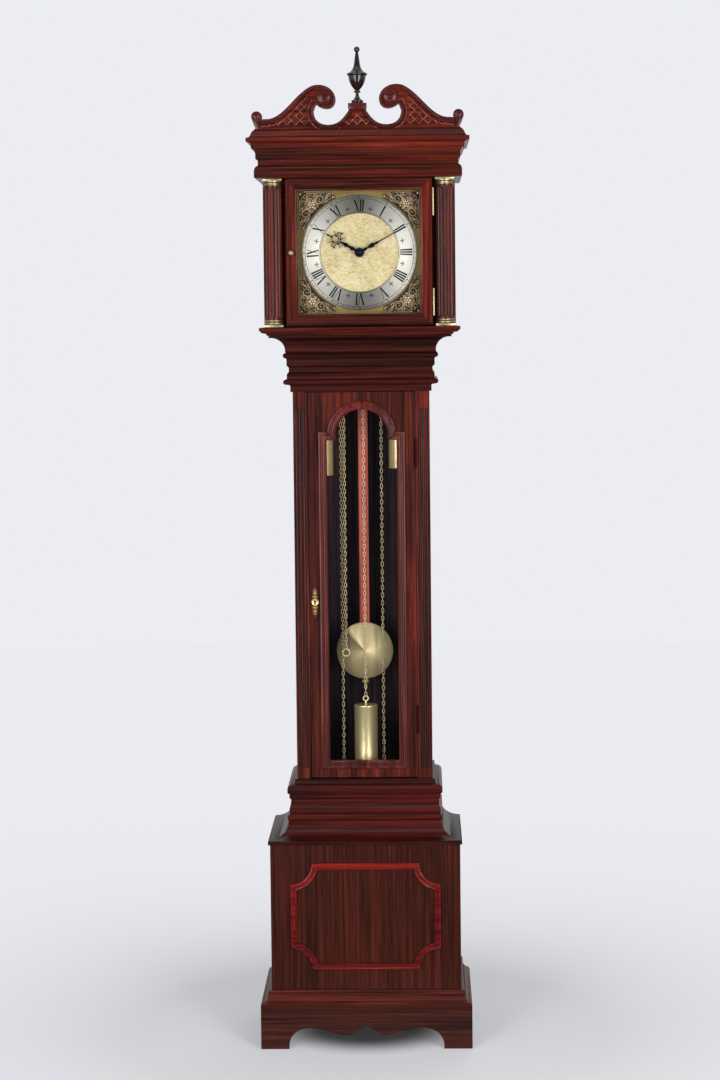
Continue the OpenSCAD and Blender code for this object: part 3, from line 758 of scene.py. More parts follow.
mountLook = dict(
    half=0.0197, slabs=((1479, 1485), (1774.5, 1779)),
    base=[(0, 1485), (19.4, 1485)] + arc(17.4, 1487.6, 2.4, 2.4, -70, 90) + [(16.8, 1490.4)]
         + arc(17.2, 1492.7, 1.7, 1.9, -80, 90, 6) + [(16.6, 1494.9), (0, 1495)],
    cap=[(0, 1764)] + arc(17.4, 1765.4, 1.5, 1.4, -90, 90, 6) + [(16.9, 1767.2), (16.9, 1768.6)]
        + arc(17, 1774.4, 2.8, 5, -88, 0) + [(19.8, 1774.5), (0, 1774.5)])
brassParts = []
for x in (-columnX, columnX):
    brassParts += [lathe("mount", mountLook[part], (x, columnY, 0), "z", 64) for part in ("base", "cap")]
    brassParts += [block("mountSlab", (x - mountLook["half"], columnY - mountLook["half"], low * mm),
                         (x + mountLook["half"], columnY + mountLook["half"], high * mm), 0.0005)
                   for low, high in mountLook["slabs"]]
settle(joined("columnMounts", brassParts), "hood", polishedBrass, ["column_brasses"], "polished_brass")
print("columns ready")

finialProfile = ([(0, 1927), (12, 1927), (12, 1930.0)] + arc(10.2, 1931.4, 1.8, 1.8, -30, 90, 6)
                 + curve((9, 1933.6), (6.5, 1936), (4.2, 1939), (3.2, 1944), 8) + [(3.2, 1947.4)]
                 + arc(4.0, 1950.0, 2.9, 2.3, -80, 80, 8)
                 + curve((4.4, 1953), (7.5, 1956), (13, 1962), (16.2, 1972), 12) + [(17.4, 1979)]
                 + [(17.6, 1981.4)] + arc(18.2, 1984.6, 2.5, 2.6, -70, 80, 8)
                 + curve((17.6, 1987.6), (12.5, 1990), (8.2, 1995), (6.6, 2002), 10)
                 + curve((5.6, 2009), (4.6, 2017), (3.6, 2023), (2.8, 2028.4), 8)
                 + arc(0, 2034, 6, 6, -62, 90, 14))
settle(lathe("finial", finialProfile, (0, middleOf("finial")[1], 0), "z", 72), "hood",
       woodFinish("turned", "z", 1.0, 0.22), ["finial"], "turned_dark", 50)


class Growth(Graph):
    # a Geometry Nodes tree that is run once and turned into a plain mesh
    def __init__(self, name, **inputs):
        super().__init__(bpy.data.node_groups.new(name, "GeometryNodeTree"))
        self.entry = self.tree.nodes.new("NodeGroupInput")
        sockets = self.tree.interface
        sockets.new_socket("Geometry", in_out="OUTPUT", socket_type="NodeSocketGeometry")
        self.keys = {key: sockets.new_socket(key, in_out="INPUT", socket_type="NodeSocket" + kind).identifier
                     for key, kind in inputs.items()}

    def given(self, key):
        return Wire(self, self.entry.outputs[key])

    def shape(self, key):
        # the geometry of an object given as an input
        return self.node("GeometryNodeObjectInfo", {}, {"Object": self.given(key)}, "Geometry")

    def end(self, points, rotation, instance):
        placed = self.node("GeometryNodeInstanceOnPoints", {},
                           {"Points": points, "Rotation": rotation, "Instance": instance})
        solid = self.node("GeometryNodeRealizeInstances", {}, {0: placed})
        dressed = self.node("GeometryNodeSetMaterial", {},
                            {"Geometry": solid, "Material": self.given("material")})
        self.feed(self.tree.nodes.new("NodeGroupOutput").inputs[0], dressed)

    def grow(self, name, **values):
        carrier = newPiece(name + "Seed", [(0, 0, 0)], [])
        modifier = carrier.modifiers.new("grow", "NODES")
        modifier.node_group = self.tree
        for key, value in values.items():
            modifier[self.keys[key]] = value
        carrier.update_tag()
        bpy.context.view_layer.update()
        mesh = bpy.data.meshes.new_from_object(carrier.evaluated_get(bpy.context.evaluated_depsgraph_get()))
        carrier.modifiers.clear()
        bpy.data.objects.remove(carrier)
        return linked(name, mesh)


chainTree = Growth("linkChain", path="Object", link="Object", count="Int", first="Float", material="Material")
stations = chainTree.node("GeometryNodeResampleCurve", {}, {
    "Curve": chainTree.shape("path"), "Count": chainTree.given("count")})
along = chainTree.node("FunctionNodeAlignRotationToVector", {"axis": "Z"}, {
    "Vector": chainTree.node("GeometryNodeInputTangent", {}, {})})
order = chainTree.node("GeometryNodeInputIndex", {}, {}) + chainTree.given("first")
quarter = chainTree.node("FunctionNodeAxisAngleToRotation", {}, {
    "Axis": (0, 0, 1), "Angle": order.maths("MODULO", order, 2.0) * (math.pi / 2)})
chainTree.end(stations, chainTree.node("FunctionNodeRotateRotation", {"rotation_space": "LOCAL"}, {
    "Rotation": along, "Rotate By": quarter}), chainTree.shape("link"))

dialTree = Growth("dialMarks", mark="Object", count="Int", radius="Float", offset="Float",
                  centre="Vector", material="Material")
bearing = tau / dialTree.given("count") * (
    dialTree.node("GeometryNodeInputIndex", {}, {}) + dialTree.given("offset"))
spot = dialTree.node("ShaderNodeCombineXYZ", {}, {
    "X": bearing.maths("SINE", bearing, 0.0) * dialTree.given("radius"),
    "Z": bearing.maths("COSINE", bearing, 0.0) * dialTree.given("radius")})
seats = dialTree.node("GeometryNodePoints", {}, {
    "Count": dialTree.given("count"),
    "Position": dialTree.vector("ADD", {0: spot, 1: dialTree.given("centre")})})
dialTree.end(seats, dialTree.node("FunctionNodeAxisAngleToRotation", {}, {
    "Axis": (0, 1, 0), "Angle": bearing}), dialTree.shape("mark"))
print("node trees ready")


pedimentLook = dict(
    rib=1.9, ribHeight=1.8, ribGap=12.5, ribLines=26, edge=15.5, foot=7.0, footTop=1892,
    fieldLow=1876, fieldRows=96, fieldHalf=210, volute=(66, 1940), eyeRoom=36,
    crest=(12, 6.4), valley=(9.0, 9.0), bead=(1.8, 1.8), knobAt=(202.5, 1902),
    section=[(-0.49, -0.5), (-0.49, 1.6), (-0.42, 3.0), (-0.28, 3.9), (-0.1, 3.9), (0.06, 3.0),
             (0.12, 1.8), (0.2, 1.8), (0.26, 2.6), (0.38, 2.6), (0.46, 1.5), (0.5, -0.5)],
    eye=[(0, 3.4), (5, 3.2), (9, 2.4), (12.6, 1.2), (13.6, 1.2), (14.4, 2.8), (15.4, 3.2), (16.2, 2.6),
         (16.6, 0), (0, 0)],
    knob=[(0, 3.0), (3.4, 2.6), (5.0, 1.4), (6.2, 1.6), (8.4, 3.4), (9.8, 3.0), (10.6, 1.6), (10.8, -18),
          (0, -18)],
    heel=[(212.6, 1899), (209, 1888), (206, 1882), (204, 1876), (190, 1876), (190, 1896)],
    block=[(-18, 1914), (18, 1914), (18, 1926.6), (-18, 1926.6)])
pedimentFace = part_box("pediment")[0].y + 4 * mm


def swanNeck():
    # the outline of the right half, from the outer foot over the volute to the middle
    return ([(207, 1876), (200, 1885), (195, 1896)]
            + curve((187, 1897), (150, 1893), (128, 1945), (92, 1961.5), 20)
            + curve((92, 1961.5), (75, 1968), (50, 1962), (44, 1940), 14)
            + curve((44, 1940), (40, 1917), (62, 1908), (83, 1925), 14)
            + curve((88, 1912), (88, 1893), (75, 1884), (58, 1884), 12)
            + curve((58, 1884), (36, 1884), (26, 1900), (17, 1913), 12) + [(18.5, 1917), (18.5, 1927)])


def insideBy(x, z, outline):
    # how far a point lies inside an outline, below 0 outside it
    within, near = False, 1e9
    for (ax, az), (bx, bz) in zip(outline, outline[1:] + outline[:1]):
        if (az > z) != (bz > z) and x < (bx - ax) * (z - az) / (bz - az) + ax:
            within = not within
        dx, dz = bx - ax, bz - az
        t = max(0, min(1, ((x - ax) * dx + (z - az) * dz) / (dx * dx + dz * dz + 1e-9)))
        near = min(near, math.hypot(x - ax - t * dx, z - az - t * dz))
    return near if within else -near


def latticeRuns():
    # diagonal lines over the field, cut where they meet the raised border or a volute
    p, runs = pedimentLook, []
    outline = swanNeck() + flipped(reversed(swanNeck()), -1)

    def clear(point):
        x, z = point
        margin = p["edge"] if z > p["footTop"] else p["foot"]
        return abs(x) < p["fieldHalf"] and insideBy(x, z, outline) > margin and math.hypot(
            abs(x) - p["volute"][0], z - p["volute"][1]) > p["eyeRoom"]

    for lean in (-1, 1):
        for k in range(-p["ribLines"], p["ribLines"] + 1):
            start = (k + 0.5) * p["ribGap"] * math.sqrt(2)
            line = [(start + lean * i, p["fieldLow"] + i) for i in range(p["fieldRows"])]
            groups = [list(group) for free, group in itertools.groupby(line, clear) if free]
            runs += [(run[0], run[-1]) for run in groups if len(run) > 4]
    return runs


def edgeRun(line, side, first, last, gap=0.0):
    # a path inside the outline's edge, its width running from the first value to the last
    run = []
    for k, (x, z) in enumerate(line):
        (ax, az), (bx, bz) = line[max(k - 1, 0)], line[min(k + 1, len(line) - 1)]
        size = math.hypot(bx - ax, bz - az) or 1
        width = first + (last - first) * k / (len(line) - 1)
        inset = gap + width / 2
        run.append((side * (x - (bz - az) / size * inset), z + (bx - ax) / size * inset, width))
    return run


pedimentBoard = softened(cutBack("pediment", "pedimentBoard", pedimentFace + 0.02 * mm), 0.0006, 40)
settle(pedimentBoard, "hood", woodFinish("hood", "x"), ["pediment"], "mahogany", 40, True)
ribSection = halfRound(pedimentFace, pedimentLook["ribHeight"], 3)
ribs = [swept("rib", tapered(run, pedimentLook["rib"]), ribSection) for run in latticeRuns()]
carving = []
crestLine, valleyLine = swanNeck()[2:52], swanNeck()[52:-2]
for side in (-1, 1):
    p = pedimentLook
    section = [(across * side, pedimentFace - rise * mm) for across, rise in p["section"]]
    carving += [swept("crest", edgeRun(crestLine, side, *p["crest"]), section),
                swept("valley", edgeRun(valleyLine, side, *p["valley"]), section)]
    ribs += [swept("bead", edgeRun(line, side, *p["bead"], inset), ribSection)
             for line, inset in ((crestLine[:19], 13.4), (valleyLine[:20], 10.6))]
    for part, (x, z), steps in (("eye", p["volute"], 48), ("knob", p["knobAt"], 40)):
        carving.append(lathe(part, p[part], (side * x * mm, pedimentFace, z * mm), steps=steps))
    carving.append(softened(slabOf("heel", flipped(p["heel"], side), pedimentFace - 0.3 * mm,
                                   pedimentFace + 18 * mm), 0.0006))
carving.append(softened(slabOf("finialBlock", pedimentLook["block"], pedimentFace - 3.6 * mm, pedimentFace),
                        0.001))
settle(joined("pedimentCarving", carving), "hood", woodFinish("crest", "x", 0.22), slot="mahogany", smooth=50)
# the lattice ribs and beads take the pale rib wood as a painted highlight
settle(joined("pedimentLattice", ribs), "hood", woodFinish("rib", "z", 0.4), slot="mahogany", smooth=50)
print("pediment ready")


ringLook = dict(numeralLow=83.4, numeralHigh=107.6, thick=3.1, thin=1.1, serif=0.7, serifHeight=0.75,
                spacing=4.7, rise=0.12, middle=95.5, circles=((110.6, 0.4), (115.9, 0.4), (82.1, 0.35)),
                minute=(0.6, 5.3), five=(1.5, 5.3), quarter=(0.5, 2.0), cross=(1.2, 11.0),
                minuteRadius=113.25, quarterRadius=81.1, crossRadius=90.5,
                profile=[(80, 0), (80, 2.5), (80.4, 3), (117.1, 3), (117.5, 2.5), (117.5, 0), (80, 0)],
                # painted highlight and shade on the ring: greys by the turn round its axis, lighter at the
                # sides, darker above and below
                rays=[(0.0, 0.68), (0.14, 0.66), (0.25, 0.5), (0.34, 0.66), (0.5, 0.68), (0.66, 0.66),
                      (0.75, 0.46), (0.86, 0.6), (1.0, 0.68)])
inkBack = 0.05 * mm
settle(lathe("chapterRing", ringLook["profile"], (0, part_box("chapter_ring")[1].y, dialZ), steps=160), "case",
       spunFinish("silveredRing", rgb(212, 210, 200), dialZ, 0.3, 0.4, ringLook["rays"]),
       ["chapter_ring"], "silvered", 40)


def roman(hour):
    # strokes of one numeral, left to right: (x at the foot, x at the head, thickness)
    words = ("I", "II", "III", "IIII", "V", "VI", "VII", "VIII", "IX", "X", "XI", "XII")[hour - 1]
    p, strokes, at = ringLook, [], 0.0
    for sign in words:
        if sign == "I":
            strokes.append((at, at, p["thick"]))
            at += p["spacing"]
        elif sign == "V":
            strokes += [(at + 3.9, at - 0.6, p["thick"]), (at + 4.3, at + 8.6, p["thin"])]
            at += 8.6 + p["spacing"] * 0.85
        else:
            strokes += [(at + 7.6, at - 0.2, p["thick"]), (at + 0.2, at + 7.4, p["thin"])]
            at += 7.4 + p["spacing"] * 0.9
    middle = (min(min(a, b) for a, b, w in strokes) + max(max(a, b) for a, b, w in strokes)) / 2
    return [(a - middle, b - middle, w) for a, b, w in strokes]


def bent(u, radius, hour):
    # a point u to the right on the numeral's own ring, fanned with the radius
    a = math.radians(hour * 30) + u / ringLook["middle"]
    return radius * math.sin(a), radius * math.cos(a) + dialZ / mm


ink = []
for hour in range(1, 13):
    low, high, shapes = ringLook["numeralLow"], ringLook["numeralHigh"], []
    for foot, head, width in roman(hour):
        h, s = width / 2, width / 2 + ringLook["serif"]
        shapes.append([(foot - h, low), (foot + h, low), (head + h, high), (head - h, high)])
        for x, r, lift in ((foot, low, ringLook["serifHeight"]), (head, high, -ringLook["serifHeight"])):
            shapes.append([(x - s, r), (x + s, r), (x + s - 0.3, r + lift), (x - s + 0.3, r + lift)])
    ink += [slabOf(f"ink{hour}", [bent(u, r, hour) for u, r in shape], ringFace - ringLook["rise"] * mm,
                   ringFace + inkBack) for shape in shapes]
for radius, width in ringLook["circles"]:
    band = [(radius - width, 0), (radius - width, ringLook["rise"]), (radius + width, ringLook["rise"]),
            (radius + width, 0), (radius - width, 0)]
    ink.append(lathe("circle", band, (0, ringFace, dialZ), steps=160))
settle(joined("ringNumerals", ink), "case", waxAndHoleShade)


def inked(name, outline):
    return slabOf(name, outline, -ringLook["rise"] * mm, inkBack)


def tick(width, length):
    w, h = width / 2, length / 2
    return inked("tick", [(-w, -h), (w, -h), (w, h), (-w, h)])


def crossMark(arm, reach):
    # four pointed arms
    shape = [(-arm / 2, 0), (-arm * 0.8, reach * 0.36), (0, reach / 2), (arm * 0.8, reach * 0.36),
             (arm / 2, 0)]
    turns = [(math.cos(math.radians(a)), math.sin(math.radians(a))) for a in (0, 90, 180, 270)]
    return joined("crossMark", [inked("arm", [(x * c - z * s, x * s + z * c) for x, z in shape])
                                for c, s in turns])


for name, mark, count, radius, offset in (
        ("minuteMarks", tick(*ringLook["minute"]), 60, ringLook["minuteRadius"], 0.0),
        ("fiveMinuteMarks", tick(*ringLook["five"]), 12, ringLook["minuteRadius"], 0.0),
        ("quarterMarks", tick(*ringLook["quarter"]), 48, ringLook["quarterRadius"], 0.0),
        ("halfHourCrosses", crossMark(*ringLook["cross"]), 12, ringLook["crossRadius"], 0.5)):
    grown = dialTree.grow(name, mark=mark, count=count, radius=radius * mm, offset=offset,
                          centre=(0, ringFace, dialZ), material=waxAndHoleShade)
    bpy.data.objects.remove(mark)
    settle(grown, "case", ())

dialPlate = cadCopy("dial_plate", "dialPlate", 0.0003)
for face in dialPlate.data.polygons:
    away = math.hypot(face.center.x, face.center.z - dialZ)
    face.material_index = int(face.center.y < dialFace - 0.4 * mm and away < 0.0795)
settle(dialPlate, "case", [plateBrass, mattedFinish()], ["dial_plate"], "plate_brass", 30, True)
print("chapter ring ready")


spandrelLook = dict(
    height=2.4, ground=0.8, boss=(97, 98), bossRing=5.2, reach=(49, 120.6), clearRadius=121, leafLength=4.4,
    scrolls=[  # middle, radii, angles, widths, steps
        (108, 79, 9.5, 2.0, 120, -330, 4.2, 2.0, 34), (116.5, 60.5, 5.6, 1.6, 150, -210, 3.4, 1.8, 24),
        (119.2, 50.0, 3.6, 1.2, 130, -150, 2.6, 1.6, 18), (117.5, 95.5, 5.4, 1.6, 230, 560, 3.4, 1.8, 24),
        (113.0, 111.0, 5.6, 1.4, 250, 560, 3.4, 1.8, 24), (106.5, 102.2, 3.6, 1.2, 200, 520, 2.4, 1.4, 18),
        (120.0, 86.4, 2.8, 1.0, 90, 380, 2.0, 1.4, 14), (97.6, 83.6, 3.0, 1.0, 60, -230, 2.2, 1.4, 14),
        (104.6, 68.4, 2.6, 1.0, 100, -190, 2.0, 1.2, 14), (112.6, 52.2, 2.2, 0.9, 80, -200, 1.8, 1.1, 12),
        (120.2, 104.6, 2.4, 1.0, 200, 470, 1.9, 1.2, 12)],
    stems=[  # the curve's four points and its steps, width, loss per step
        ((103, 92), (112, 86), (119, 80), (121.4, 70), 14, 3.4, 0.12),
        ((109, 68), (113, 66), (121, 64), (121.6, 50), 14, 3.2, 0.11),
        ((121, 106), (123, 98), (118, 88), (121, 78), 14, 2.6, 0),
        ((102, 89), (99, 80), (100, 72), (106, 64), 14, 3.6, 0.12),
        ((106, 64), (109, 60), (112, 55), (113, 48), 12, 2.2, 0)],
    leaves=[(108, 79, 11.0, 3.0), (116.5, 60.5, 7.2, 2.4), (117.5, 95.5, 6.8, 2.4), (113, 111, 7.0, 2.2),
            (97, 98, 8.8, 2.8)],
    drops=[(97, 98, 2.8), (119.5, 119.5, 3.4), (104, 105, 2.2), (90.5, 91, 2.6), (107.5, 108.2, 2.4)])


def leafRing(cx, cz, radius, width, count=11):
    # short leaves standing round a scroll, as far as the casting has room for them
    leaves, length, (low, high) = [], spandrelLook["leafLength"], spandrelLook["reach"]
    for k in range(count):
        a = tau * (k + 0.35) / count
        leaf = [(cx + (radius + length * t) * math.cos(a + 0.35 * t),
                 cz + (radius + length * t) * math.sin(a + 0.35 * t), width * (1 - 0.7 * t))
                for t in (0, 0.25, 0.5, 0.75, 1)]
        x, z, tip = leaf[-1]
        if low < x < high and low < z < high and math.hypot(x, z) > spandrelLook["clearRadius"] and z < x + 3:
            leaves.append(leaf)
    return leaves


def raised(path):
    # from the dial's middle to the clock's own height
    return [(x, z + dialZ / mm, *rest) for x, z, *rest in path]


def spandrelCorner():
    # the top right corner; the scrolls lie below its diagonal and again above it
    p, parts, beads = spandrelLook, [], []
    section = halfRound(dialFace, p["height"], 4)
    half = ([scroll(*row) for row in p["scrolls"]]
            + [tapered(curve(*row[:5]), *row[5:]) for row in p["stems"]]
            + [leaf for row in p["leaves"] for leaf in leafRing(*row)])
    for path in half:
        for line in (path, [(z, x, w) for x, z, w in path]):
            parts.append(swept("scroll", raised(line), section))
            beads += [(*line[-1][:2], 2.1), (*line[0][:2], 1.9)]
    plain = len(beads)
    beads += tapered([onArc(*p["boss"], p["bossRing"], p["bossRing"], 60 * i) for i in range(6)], 3.1)
    for k, (x, z, r) in enumerate(beads + p["drops"]):
        tall = min(r, p["height"] + (0.5 if k >= plain else 0))
        dome = [(0, tall)] + [(r * math.sin(a), tall * math.cos(a)) for a in (0.5, 0.95, 1.35)]
        parts.append(lathe("bead", dome + [(r, 0), (0, 0)], (x * mm, dialFace, z * mm + dialZ), steps=12))
    parts.append(swept("bandArc", tapered(raised(arc(0, 0, 120.2, 120.2, 24, 66, 42)), 2.4),
                       halfRound(dialFace, 1.8, 4)))
    # the ground sits at the back of the relief and takes the darkest gilt tone: painted shade between the
    # scrolls
    ground = raised([(48, 121.5), (121.5, 121.5), (121.5, 48)] + arc(0, 0, 119, 119, 24, 66, 14))
    parts.append(slabOf("ground", ground, dialFace - p["ground"] * mm, dialFace))
    return joined("corner", parts)


corner = spandrelCorner()
corners = [mirrored(corner, f"corner{sx}{sz}", sx, sz) for sx in (-1, 1) for sz in (-1, 1)]
bpy.data.objects.remove(corner)
# spandrel gilt from painted shade in the hollows to a near-white painted highlight on the tops
settle(joined("spandrelScrolls", corners), "case", castGiltFinish(
    "spandrelGilt", dialFace - 2.6 * mm, dialFace, (rgb(32, 24, 16), rgb(140, 114, 82), rgb(244, 224, 190))),
       ["spandrels"], "gilt", 50)
print("spandrels ready")


handLook = dict(
    minuteAngle=61.5, hourAngle=299.5, thick=1.5 * mm,
    minuteBlade=[(0, 3.0), (9, 2.2), (13, 3.4), (17, 2.0), (21, 1.7), (25, 3.6), (29, 4.6), (33, 3.6),
                 (36, 1.8), (40, 2.6), (44, 1.6), (50, 1.25), (80, 0.85), (106, 0.45)],
    hourStem=[(0, 3.2), (12, 2.4), (17, 4.6), (21, 3.0), (26, 2.2), (31, 4.8), (36, 2.8), (41, 2.0)],
    hourTip=[(0, 81), (-1.0, 76), (-2.2, 73), (-1.2, 70), (-1.4, 62), (1.4, 62), (1.2, 70), (2.2, 73),
             (1.0, 76)],
    frets=[  # the curve's four points and its steps, width
        ((0.6, 43), (5, 47), (9, 51.5), (15.5, 50), 12, 2.4),
        ((0.4, 49), (8.5, 52), (8.5, 60), (0.8, 66), 14, 2.0),
        ((6.2, 57.5), (9.5, 62), (12, 63), (13.5, 67), 8, 1.6),
        ((4.5, 46), (8, 43), (10, 42), (11.5, 38.5), 8, 1.6)],
    curl=(12.6, 54.6, 3.4, 2.2, -60, 215, 1.9, 1.3, 16),
    pips=[(16.4, 49.6, 1.9), (7.4, 57, 1.9), (5.4, 46.2, 1.7)])
minuteFront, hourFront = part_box("hand_nut")[1].y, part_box("hour_hand")[0].y


def handTurned(piece, angle):
    # a hand drawn upright about the origin, turned clockwise and set on the dial's middle
    turn = Matrix.Translation((0, 0, dialZ)) @ Matrix.Rotation(math.radians(angle), 4, "Y")
    piece.data.transform(turn)
    return piece


def wavy(length, stops):
    # a blade's outline from (height, half width) stops
    return [(w, z) for z, w in stops] + [(0, length)] + [(-w, z) for z, w in reversed(stops)]


def hubOf(radius, y):
    rim = [(0, 0), (0, 1.5), (radius - 0.8, 1.5), (radius, 0.8), (radius, 0)]
    return lathe("hub", rim, (0, y, 0))


def minuteHand():
    y = minuteFront
    blade = slabOf("blade", wavy(108, handLook["minuteBlade"]), y, y + handLook["thick"])
    parts = [softened(blade, 0.00022, 30), hubOf(9, y + handLook["thick"])]
    return handTurned(joined("minuteHand", parts), handLook["minuteAngle"])


def hourHand():
    p, y0, y1 = handLook, hourFront, hourFront + handLook["thick"]
    box = [(-0.5, y1), (-0.5, y0 + 0.2 * mm), (-0.3, y0), (0.3, y0), (0.5, y0 + 0.2 * mm), (0.5, y1)]
    parts = [softened(slabOf("stem", wavy(44, p["hourStem"]), y0, y1), 0.00022, 30),
             softened(slabOf("tip", p["hourTip"], y0, y1), 0.0002, 30)]
    for side in (-1, 1):
        for *points, steps, width in p["frets"]:
            line = tapered(curve(*points, steps), width, 0.45 * width / (steps + 1))
            parts.append(swept("fret", flipped(line, side), box))
        parts.append(swept("curl", flipped(scroll(*p["curl"]), side), box))
        parts += [lathe("pip", [(0, 0), (0, 1.5), (r * 0.8, 1.5), (r, 1), (r, 0)],
                        (side * x * mm, y1, z * mm), steps=20) for x, z, r in p["pips"]]
    return handTurned(joined("hourHand", parts + [hubOf(10, y1)]), p["hourAngle"])


settle(joined("minuteHand", [minuteHand(), cutBack("minute_hand", "arbor", minuteFront + handLook["thick"])]),
       "minute", blued, ["minute_hand"], "blued_steel", 40)
settle(joined("hourHand", [hourHand(), cutBack("hour_hand", "pipe", hourFront + handLook["thick"])]),
       "hour", blued, ["hour_hand"], "blued_steel", 40)
nutDome = [(0, 0), (8.4, 0), (8.6, 0.5), (8.6, 1.6)] + arc(0, 1.8, 8.2, 5.6, 0, 90, 12)
settle(lathe("handNut", nutDome, (0, minuteFront, dialZ)), "minute", blued, ["hand_nut"], "blued_steel", 60)
print("hands ready")


knobProfile = ([(0, 0), (5.2, 0), (5.2, 0.9), (4.4, 1.6), (2.5, 2.2), (2.3, 4.8), (2.9, 5.8)]
               + arc(0, 10, 5.9, 4.5, -55, 90, 14))
knobX, _, knobZ = middleOf("hood_door_knob")
settle(lathe("hoodDoorKnob", knobProfile, (knobX, doorFront, knobZ), steps=40), "hood_door", polishedBrass,
       ["hood_door_knob"], "polished_brass", 50)

smallParts = [
    # body (none: the node's own name), finish, slot, edge in mm, CAD nodes
    ("hood", polishedBrass, "polished_brass", 0.25, "hood_door_hinges"),
    ("case", bronzedBrass, "bronzed", 0.25, "trunk_door_hinges"),
    ("case", plateBrass, "plate_brass", 0.4, "front_plate back_plate suspension_cock"),
    (None, plateBrass, "plate_brass", 0.25, "anchor"),
    (None, plateBrass, "plate_brass", 0.2, "great_wheel_left great_wheel_centre great_wheel_right"),
]
for body, finish, slotName, edge, nodes in smallParts:
    for node in nodes.split():
        settle(cadCopy(node, camel(node), edge * mm), body or node, finish, [node], slotName, even=True)

keyX, _, keyZ = middleOf("escutcheon")
keyLow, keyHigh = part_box("escutcheon")
keyFront, keyDepth, keyReach = keyLow.y, keyHigh.y - keyLow.y, (keyHigh.z - keyLow.z) / 2 / mm
keyLook = dict(
    rim=[(0, 0.8), (5.4, 0.8), (6.0, 1.0), (6.8, 1.0), (7.6, 0.6), (7.8, 0), (0, 0)],  # height as a share
    spine=[(0, 7.0, 3.0), (0, 14, 2.4), (0, 22, 2.0), (0, keyReach, 1.2)],
    scrolls=[(3.2, 10.4, 2.6, 1.0, 180, -110, 2.6, 1.8, 12), (2.7, 16.6, 2.1, 0.9, 180, -90, 2.3, 1.6, 12)],
    leaves=[((0.2, 18), (1.6, 20), (3.2, 20.6), (4.2, 22.6), 6, 2.2),
            ((0.2, 22.5), (1.2, 24), (2.2, 24.6), (3.0, 26.4), 6, 1.9)],
    hole=[(0, 0.1), (1.9, 0.1), (1.9, 0), (0, 0)], slot=[(-1.1, -4.6), (1.1, -4.6), (0.7, 0.4), (-0.7, 0.4)])


def lacePlate():
    # a round plate with a leafy spray above and below
    base = keyFront + keyDepth
    section = halfRound(base, keyDepth / mm + 0.2, 4)
    rim = [(r, h * keyDepth / mm) for r, h in keyLook["rim"]]
    parts = [lathe("plate", rim, (keyX, base, keyZ), steps=40)]
    lines = [scroll(*row) for row in keyLook["scrolls"]]
    lines += [tapered(curve(*row[:5]), row[5]) for row in keyLook["leaves"]]
    lines = [keyLook["spine"]] + [flipped(line, side) for side in (-1, 1) for line in lines]
    parts += [swept("spray", [(keyX / mm + x, keyZ / mm + up * z, w) for x, z, w in line], section)
              for up in (-1, 1) for line in lines]
    return joined("escutcheon", parts)


# escutcheon gilt from painted shade in the hollows to painted highlight on the tops
escutcheonShadeToHighlight = (rgb(52, 38, 20), rgb(168, 132, 76), rgb(232, 200, 140))
settle(lacePlate(), "trunk_door",
       castGiltFinish("escutcheonGilt", keyFront, keyFront + keyDepth, escutcheonShadeToHighlight),
       ["escutcheon"], "bronzed", 50)
# the keyhole is a thin black sheet on the escutcheon's face, in the numerals' black wax finish: painted shade
# where the hole would show dark
slot = [(keyX / mm + x, keyZ / mm + z) for x, z in keyLook["slot"]]
settle(joined("keyhole", [lathe("keyRound", keyLook["hole"], (keyX, keyFront, keyZ + 0.001), steps=24),
                          slabOf("keySlot", slot, keyFront - 0.0001, keyFront)]), "trunk_door", waxAndHoleShade)
print("fittings ready")


rodLook = dict(low=0.7449, high=1.6551, half=0.0101, shoulder=1.6549, step=0.0009)  # the wooden length
rod = cadCopy("pendulum_rod", "pendulumRod", 0.0007)
for face in rod.data.polygons:
    x, y, z = face.center
    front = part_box("pendulum_rod")[0].y + rodLook["step"] * (z > rodLook["shoulder"])
    wooden = (rodLook["low"] < z < rodLook["high"] and abs(x) <= rodLook["half"] and face.area > 1e-8
              and y > front)
    face.material_index = int(not wooden)
settle(rod, "pendulum", [woodFinish("rod", "z", 0.4, 0.4), plateBrass], ["pendulum_rod"], "mahogany_red",
       even=True)
bobLow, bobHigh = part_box("pendulum_bob")
bobZ, bobRadius = middleOf("pendulum_bob")[2], (bobHigh.z - bobLow.z) / 2 / mm
bobProfile = ([(0, 0), (bobRadius - 1.2, 0), (bobRadius - 0.3, 0.4), (bobRadius, 1.4), (bobRadius - 0.2, 2.4)]
              + curve((bobRadius - 1, 3.6), (40, 8.8), (22, 11.8), (8, 11.9), 18) + [(0, 12)])
# painted highlight and shade on the bob: greys by the turn round its axis, brightest at the right, with a dark
# wedge at the upper left
bobSheen = [(0.0, 0.48), (0.1, 0.6), (0.25, 0.4), (0.36, 0.66), (0.46, 1.0), (0.54, 1.0), (0.66, 0.62),
           (0.76, 0.42), (0.84, 0.92), (0.88, 0.2), (0.94, 0.32), (1.0, 0.46)]
settle(lathe("pendulumBob", bobProfile, (0, bobHigh.y, bobZ), steps=128), "pendulum",
       spunFinish("spunBob", rgb(252, 232, 176), bobZ, 0.42, 0.1, bobSheen, 0.72),
       ["pendulum_bob"], "spun_brass", 40)


def knurled(name, node, teeth=36, cut=0.045):
    # a round nut with milled edges
    low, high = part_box(node)
    (x, y, _), radius = middleOf(node), (high.x - low.x) / 2
    rows = [(0.24, 0), (0.86, 0), (1.0, 0.14), (1.0, 0.86), (0.86, 1), (0.24, 1), (0.24, 0)]
    points, around = [], teeth * 2
    for share, up in rows:
        for k in range(around):
            r = radius * (share - (cut if share == 1.0 and k % 2 else 0))
            a = tau * k / around
            points.append((x + r * math.cos(a), y + r * math.sin(a), low.z + (high.z - low.z) * up))
    return tidyNormals(newPiece(name, points, quads(len(rows), around)))


